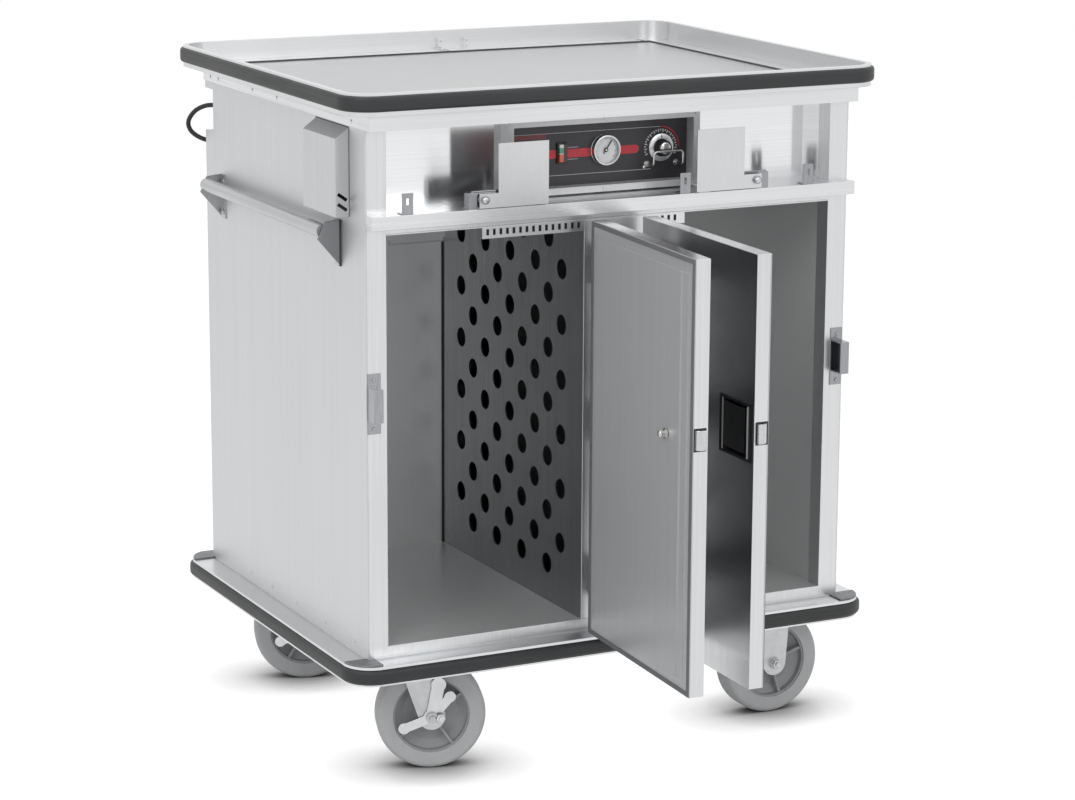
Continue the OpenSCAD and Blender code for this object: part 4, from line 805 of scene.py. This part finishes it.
# The rocker's cap shows a clear strip over three colours on its left, white and green
# above and red below, and dark red plastic on its right.
def rockerFinish(r):
    material = bpy.data.materials.new("litRocker")
    tree = emptyTree(material)
    spot = addNode(tree, "TexCoord").outputs["Object"]
    apart = addNode(tree, "SeparateXYZ", None, {"Vector": spot}).outputs
    middle, half = rockerZ * mm, r["tall"] / 2 * mm
    share = addNode(tree, "MapRange", {"From Min": middle - half, "From Max": middle + half},
                    {"Value": apart["Z"]})
    ramp = addNode(tree, "ValToRGB", None, {"Fac": share})
    stops = ramp.color_ramp.elements
    for k, (up, colour) in enumerate(r["strip"]):
        stop = stops[k] if k < 2 else stops.new(up)
        stop.position = up
        stop.color = linear(colour)
    edge = (rockerX + r["stripRight"]) * mm
    right = addNode(tree, "Math", {"operation": "GREATER_THAN", 1: edge}, {0: apart["X"]})
    edged = addNode(tree, "Mix", {"data_type": "RGBA", 7: linear(r["plain"])}, {0: right, 6: ramp})
    shader = addNode(tree, "BsdfPrincipled", {"Roughness": 0.22, "Coat Weight": 0.5, "Coat Roughness": 0.08},
                     {"Base Color": edged.outputs[2]})
    addNode(tree, "OutputMaterial", None, {"Surface": shader})
    return material


made["litRocker"] = rockerFinish(rocker)
print("controls made")


# Doors are measured in mm from a closed left door's hinge axis: x to the free edge,
# y from the outer face in, z up.
doors = {
    "hinge": (-34.0, -33.0),
    "side": {"left": 1, "right": -1},
    "open": {"left": 86.8, "right": 91.0},
    "edge": -428.0,  # the free edge
    "slot": (18.0, 18.6, 35.6),  # the bolt slot's middle in y, its width and its height
    "frame": (24.0, 41.0, 0.5),  # the slot frame's width, height and thickness
    "sunk": 0.2,  # how deep the frame sits in the edge
    "strips": ((-408.0, -405.0), (-319.0, -316.5)),
    "stripFront": 1.0,
    "cupFront": 2.6,
    "cover": (-420.4, -408.0),  # hides the bolt's tail in the cup
    "coverBack": 4.2,
    "coverThick": 1.4,
    "nutPlace": (-328.0, 34.0, 42.0),  # the height from the cup's lower edge
    "nut": [(0, 0), (9.6, 0), (9.6, 3.2), (9.0, 3.7), (6.6, 3.8), (6.6, 11.6), (5.9, 13.4), (3.8, 14.9),
            (0, 15.4)],
}
cupLow, cupHigh = (corner[2] + inward for corner, inward in zip(ownBox("left_latch_case"), (3, -3)))
boltMiddle = sum(ownBox("left_latch_bolt"))[2] / 2


# Turns a closed left door's points about its hinge to the open door: x cos a - y sin a
# and x sin a + y cos a. The right door is the mirror of the left.
def onDoor(points, which):
    points = np.asarray(points, float)
    turn = math.radians(doors["open"][which])
    x = doors["hinge"][0] + points[..., 0] * math.cos(turn) - points[..., 1] * math.sin(turn)
    y = doors["hinge"][1] + points[..., 0] * math.sin(turn) + points[..., 1] * math.cos(turn)
    return np.stack([x * doors["side"][which], y, points[..., 2]], -1)


def doorPiece(which, name, shapes, finishName, slot):
    moved = [(onDoor(spots, which), faces) for spots, faces in shapes]
    settle(prisms(which + name, moved), finishName, slot, which + "_door")


def doorTrim(d, which):
    middle, wide, tall = d["slot"]
    outerWide, outerTall, thick = d["frame"]
    bars = frameBars((middle - outerWide / 2, boltMiddle - outerTall / 2),
                     (middle + outerWide / 2, boltMiddle + outerTall / 2),
                     (middle - wide / 2, boltMiddle - tall / 2), (middle + wide / 2, boltMiddle + tall / 2))
    ring = [plateShape(bar, (d["edge"] - thick, 0, 0), (0, 1, 0), (0, 0, 1), thick + d["sunk"])
            for bar in bars]
    doorPiece(which, "SlotFrame", ring, "blackMouldedAndShade", "black_plastic")
    front = d["cupFront"]
    strips = [onFront(oblong((x0, cupLow + 2), (x1, cupHigh - 2)), 0, front, 0, front - d["stripFront"])
              for x0, x1 in d["strips"]]
    doorPiece(which, "CupStrips", strips, "paleTrim", "chromed_steel")
    x0, x1 = d["cover"]
    cover = oblong((x0, cupLow + 1.6), (x1, cupHigh - 1.6))
    doorPiece(which, "CupCover", [onFront(cover, 0, d["coverBack"], 0, d["coverThick"])], "blackMouldedAndShade",
              "black_plastic")
    base = np.array(d["nutPlace"]) + np.array([0, 0, cupLow])
    centre = onDoor(base, which)
    inward = onDoor(base + np.array([0, 1, 0]), which) - centre
    nut = turned(which + "LinerNut", d["nut"], centre, 32, inward)
    settle(nut, "nickelPlate", "chromed_steel", which + "_door")


for which in ("left", "right"):
    doorTrim(doors, which)
print("door trim made")

# A dark plate behind each grille's slots, as deep shade.
grille = {"spans": ((-262.0, -66.0), (66.0, 141.0)), "back": 4.0, "low": 5.0, "top": 1.0, "thick": 0.5}


def grilleBacks(g):
    box = ownBox("return_grilles")
    low, high = box[0][2] + g["low"], box[1][2] - g["top"]
    plates = [onFront(oblong((x0, low), (x1, high)), 0, g["back"], 0, g["thick"]) for x0, x1 in g["spans"]]
    settle(prisms("grilleBacks", plates), "blackMouldedAndShade", "dull_liner")


grilleBacks(grille)

inside = {
    "back": 606.6,  # the inner back wall
    "low": 262.0,
    "high": 992.0,
    "skin": (61.8, 64.4),  # the joint's edges at the divider, from the middle
    "rail": (62.4, 176.5, 878.0, 890.0),  # from and to across, low and high
    "end": 1.8,
    "fold": 1.6,
}


# A stretch across on one side of the middle.
def across(side, near, far):
    return sorted((near * side, far * side))


# Inside, each back wall has a short folded rail near its middle: a face, a bright lower
# lip and end, and a dark strip painted as the shadow gap on top. A dark joint runs up
# the divider's far corner, and a dark sheet painted as shade stands in the duct.
def makeInside(s):
    near, far, low, high = s["rail"]
    back, top = s["back"], high - s["fold"]
    for name, side in (("left", -1), ("right", 1)):
        a, b = across(side, near, far)
        c, d = across(side, far, far + s["end"])
        e, f = across(side, *s["skin"])
        face = [block((a, back - 5, low + 2), (b, back, top))]
        lips = [block((a, back - 6.5, low), (b, back, low + 2)), block((c, back - 6, low), (d, back, top))]
        gaps = [block((a, back - 1.5, top), (b, back, high + 1)),
                block((e, back - 2.4, s["low"]), (f, back, s["high"]))]
        settle(prisms(name + "RailFace", face), "dullLiner", "dull_liner")
        settle(prisms(name + "RailLip", lips), "paleTrim", "dull_liner")
        settle(prisms(name + "RailGap", gaps), "darkJointAndShade", "grey_seal")
    shade = block((-0.6, 12, s["low"]), (0.6, back - 10, s["high"]))
    settle(prisms("ductShade", [shade]), "blackMouldedAndShade", "dull_liner")


makeInside(inside)

shadowGaps = {"hood": 1.4, "hoodOut": 0.35, "handle": 1.3, "handleOut": 3.0, "short": 1.0}


# Dark strips painted as shade in the shadow gaps behind the hood and in front of the handle's front plate,
# on the left side.
def sidePaintedShadowGaps(g):
    x, wide = -halfWidth, g["hood"]
    low, high = ownBox("vent_hood")
    behind = block((x - g["hoodOut"], low[1] - wide, low[2]), (x, high[1] + wide, high[2] + wide))
    before = block((x - g["handleOut"], handleLow[1] - g["handle"], handleLow[2] + g["short"]),
                   (x, handleLow[1], handleHigh[2] - g["short"]))
    settle(prisms("sidePaintedShadowGaps", [behind, before]), "darkJointAndShade", "grey_seal")


sidePaintedShadowGaps(shadowGaps)

flapFront = ownBox("left_flap")[0][1]
flapBolt = {"x": 277.0, "up": 17.0, "out": 5.0, "radius": 5.6, "dome": 1.6}
for k, side in enumerate((-1, 1)):
    domeHead("flapBoltFace%d" % k,
             (side * flapBolt["x"], flapFront - flapBolt["out"], ledgeTop + flapBolt["up"]),
             flapBolt["radius"], flapBolt["dome"], "castSilver")

deckTop = deckLow[2] + sheet
seams = {
    # Dark fillet painted as the shadow gap where the rim's flange meets the deck: out from the corner
    # centre, and up.
    "deckShadowFillet": (deckTop, "darkJointAndShade", [(1.6, 0.0), (4.4, 0.0), (4.4, 3.1), (3.4, 3.0), (2.2, 1.1)]),
    # Pale filler strip between the base pan and the cabinet, set in a little.
    "footFiller": (sideLow[2], "paleTrim", [(5.0, -3.4), (9.3, -3.4), (9.3, 0.4), (5.0, 0.4)]),
}
for name, (high, finishName, profile) in seams.items():
    settle(aroundCabinet(name, np.array(profile) + np.array([0, high]), 30), finishName, "grey_seal")

rivets = {"wallY": depth + 23.0, "spots": [(22, 8), (80, 8), (22, 20), (80, 20)], "radius": 2.6,
          "dome": 1.3, "clips": [14, 26, 468], "clipY": depth + 18.0, "clipLow": (0, 3.0),
          "clipHigh": (7.0, 4.4), "clipLong": 20.0}


# Rivets of the rim's back splice stand on its inner wall, and small clips hold the
# flange below them.
def rimFittings(r):
    for k, (x, up) in enumerate(r["spots"]):
        domeHead("rimRivet%d" % k, (x, r["wallY"], deckTop + up), r["radius"], r["dome"])
    for k, x in enumerate(r["clips"]):
        clip = onFront(oblong(r["clipLow"], r["clipHigh"]), x, r["clipY"], deckTop, r["clipLong"])
        settle(prisms("flangeClip%d" % k, [clip]), "nickelPlate", "chromed_steel")


rimFittings(rivets)

# Each caster's node and how far out its inner and its outer nut stand.
axles = {
    "front_swivel": ("front_swivel_fork", 44.3, 39.0),
    "rear_swivel": ("rear_swivel_fork", 44.3, 39.0),
    "front_fixed": ("rigid_forks", 39.0, 39.0),
    "rear_fixed": ("rigid_forks", 39.0, 39.0),
}
hexNut = [(0, 0), (8.7, 0), (9.5, 0.7), (9.5, 5.0), (8.7, 5.8), (6.2, 6.2), (5.6, 8.4), (0, 8.6)]


# Axle nuts: a six-sided turning with a stub end, outside each leg of a caster.
def makeNuts(rows):
    for name, (node, near, far) in rows.items():
        middle = sum(ownBox(name + "_hub")) / 2
        for letter, out in (("A", -near), ("B", far)):
            nut = turned(name.replace("_", "") + "Nut" + letter, hexNut, middle + np.array([0, out, 0]),
                         6, (0, np.sign(out), 0), angle=25)
            settle(nut, "zincPlate", "chromed_steel", frame["nodes"][node]["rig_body"])


makeNuts(axles)
print("seams, rivets and nuts made")


# The names of a left and a right node, of the swivel casters' nodes, and of all four casters'.
def pair(part):
    return ["left_" + part, "right_" + part]


def swivels(part):
    return ["front_swivel_" + part, "rear_swivel_" + part]


def casters(part):
    return [*swivels(part), "front_fixed_" + part, "rear_fixed_" + part]


nodeFinishes = {
    "satinSide": ["side_panels", "back_panel"],
    "hoodSheet": ["vent_hood"],
    "forkZinc": ["rigid_forks", *swivels("fork")],
    "brushedUpright": ["front_frame", "return_grilles"],
    "brushedLevel": ["base_frame", "ledge_channel", "top_band", "floor_panel"],
    "paleTrim": ["control_box"],
    "mirrorSheet": ["bay_walls"],
    "deckSheet": ["top_tray"],
    "dullLiner": ["compartment_liners", "heater_unit"],
    "dividerSheet": ["divider_skins"],
    "doorOuter": pair("door_shell"),
    "doorInner": pair("door_liner"),
    "drawnAluminium": ["push_handle"],
    "flapSheet": pair("flap"),
    "zincPlate": swivels("brake"),
    "stampedSteel": ["door_strikes", "latch_brackets"],
    "castSilver": [*pair("latch_bolt"), "hinge_leaves"],
    "nickelPlate": ["cord_hook"],
    "greyPlate": ["base_plates"],
    "blackMouldedAndShade": [*pair("latch_case"), *pair("latch_paddle"), "gauge_needle"],
    "printedPlate": ["control_plate"],
    "sealRubber": pair("door_gasket"),
    "hubPlastic": casters("hub"),
    "treadRubber": casters("tread"),
    "litRocker": ["power_rocker"],
}
nodeFinish = {node: finishName for finishName, nodes in nodeFinishes.items() for node in nodes}
for node, finishName in nodeFinish.items():
    paint(frame["nodes"][node], finishName)
print("finishes set")

# Small rounded edges, in mm, on the pieces whose edges catch the light.
edges = {
    0.6: [*pair("flap"), "latch_brackets", "door_strikes", "vent_hood", "base_plates"],
    0.9: ["ledge_channel", "top_band", "front_frame", *pair("latch_bolt"), "push_handle",
          *pair("door_shell")],
    1.2: [*swivels("fork"), "rigid_forks", *swivels("brake")],
}
for width, nodes in edges.items():
    for node in nodes:
        rounded(node, width, nodeFinish[node])
print("edges rounded")


studio = {
    "worldFill": 0.55,
    "lamps": [
        ("keyLamp", (-4.2, -3.4, 4.6), 3.2, 95.0),
        ("frontLamp", (1.6, -5.6, 3.4), 3.0, 45.0),
        ("topLamp", (0.2, 0.6, 5.2), 3.6, 60.0),
    ],
    "aim": (0, 0, 0.7),
    "floorSize": 14.0,
    "shadowReach": 0.13,
    "shadowDepth": 2.4,
    "floorSeen": 0.10,  # how much of the lamps' shadow the view takes
    "floorPale": 0.7,
}


# The kinds of ray, and 1 for rays from the camera and from gloss.
def seenRays(tree):
    kinds = addNode(tree, "LightPath").outputs
    return kinds, addNode(tree, "Math", {"operation": "MAXIMUM"},
                          {0: kinds["Is Camera Ray"], 1: kinds["Is Glossy Ray"]})


def makeWorld(s):
    world = bpy.data.worlds.new("studio")
    bpy.context.scene.world = world
    tree = emptyTree(world)
    kinds, first = seenRays(tree)
    seen = addNode(tree, "Math", {"operation": "MAXIMUM"}, {0: first, 1: kinds["Is Transmission Ray"]})
    fill, white = (addNode(tree, "Background", {"Color": (1, 1, 1, 1), "Strength": strength})
                   for strength in (s["worldFill"], 1.0))
    both = addNode(tree, "MixShader", None, {0: seen, 1: fill, 2: white})
    addNode(tree, "OutputWorld", None, {"Surface": both})


def makeLamps(s):
    for name, spot, size, power in s["lamps"]:
        data = bpy.data.lights.new(name, "AREA")
        data.shape = "DISK"
        data.size = size
        data.energy = power
        lamp = bpy.data.objects.new(name, data)
        aim = Vector(s["aim"]) - Vector(spot)
        lamp.rotation_euler = aim.to_track_quat("-Z", "Y").to_euler()
        lamp.location = spot
        bpy.context.collection.objects.link(lamp)


# The floor shows white in the view and in reflections, with a painted contact shadow
# that darkens it near contacts, and takes the lamps' shadow in the rest of its colour.
def makeFloor(s):
    half = s["floorSize"] / 2
    mesh = bpy.data.meshes.new("floor")
    mesh.from_pydata([(x, y, 0) for x, y in oblong((-half, -half), (half, half))], [], [(0, 1, 2, 3)])
    floor = bpy.data.objects.new("floor", mesh)
    bpy.context.collection.objects.link(floor)
    material = bpy.data.materials.new("paperFloor")
    tree = emptyTree(material)
    seen = seenRays(tree)[1]
    near = addNode(tree, "AmbientOcclusion", {"Distance": s["shadowReach"]})
    deeper = addNode(tree, "Gamma", {"Gamma": s["shadowDepth"]}, {"Color": near})
    glow = addNode(tree, "Emission", {"Strength": 1.0}, {"Color": deeper})
    thin, pale = (addNode(tree, "BsdfDiffuse", {"Color": (*[s[key]] * 3, 1)})
                  for key in ("floorSeen", "floorPale"))
    view = addNode(tree, "AddShader", None, {0: glow, 1: thin})
    both = addNode(tree, "MixShader", None, {0: seen, 1: pale, 2: view})
    addNode(tree, "OutputMaterial", None, {"Surface": both})
    floor.data.materials.append(material)


makeWorld(studio)
makeLamps(studio)
makeFloor(studio)
print("studio made")
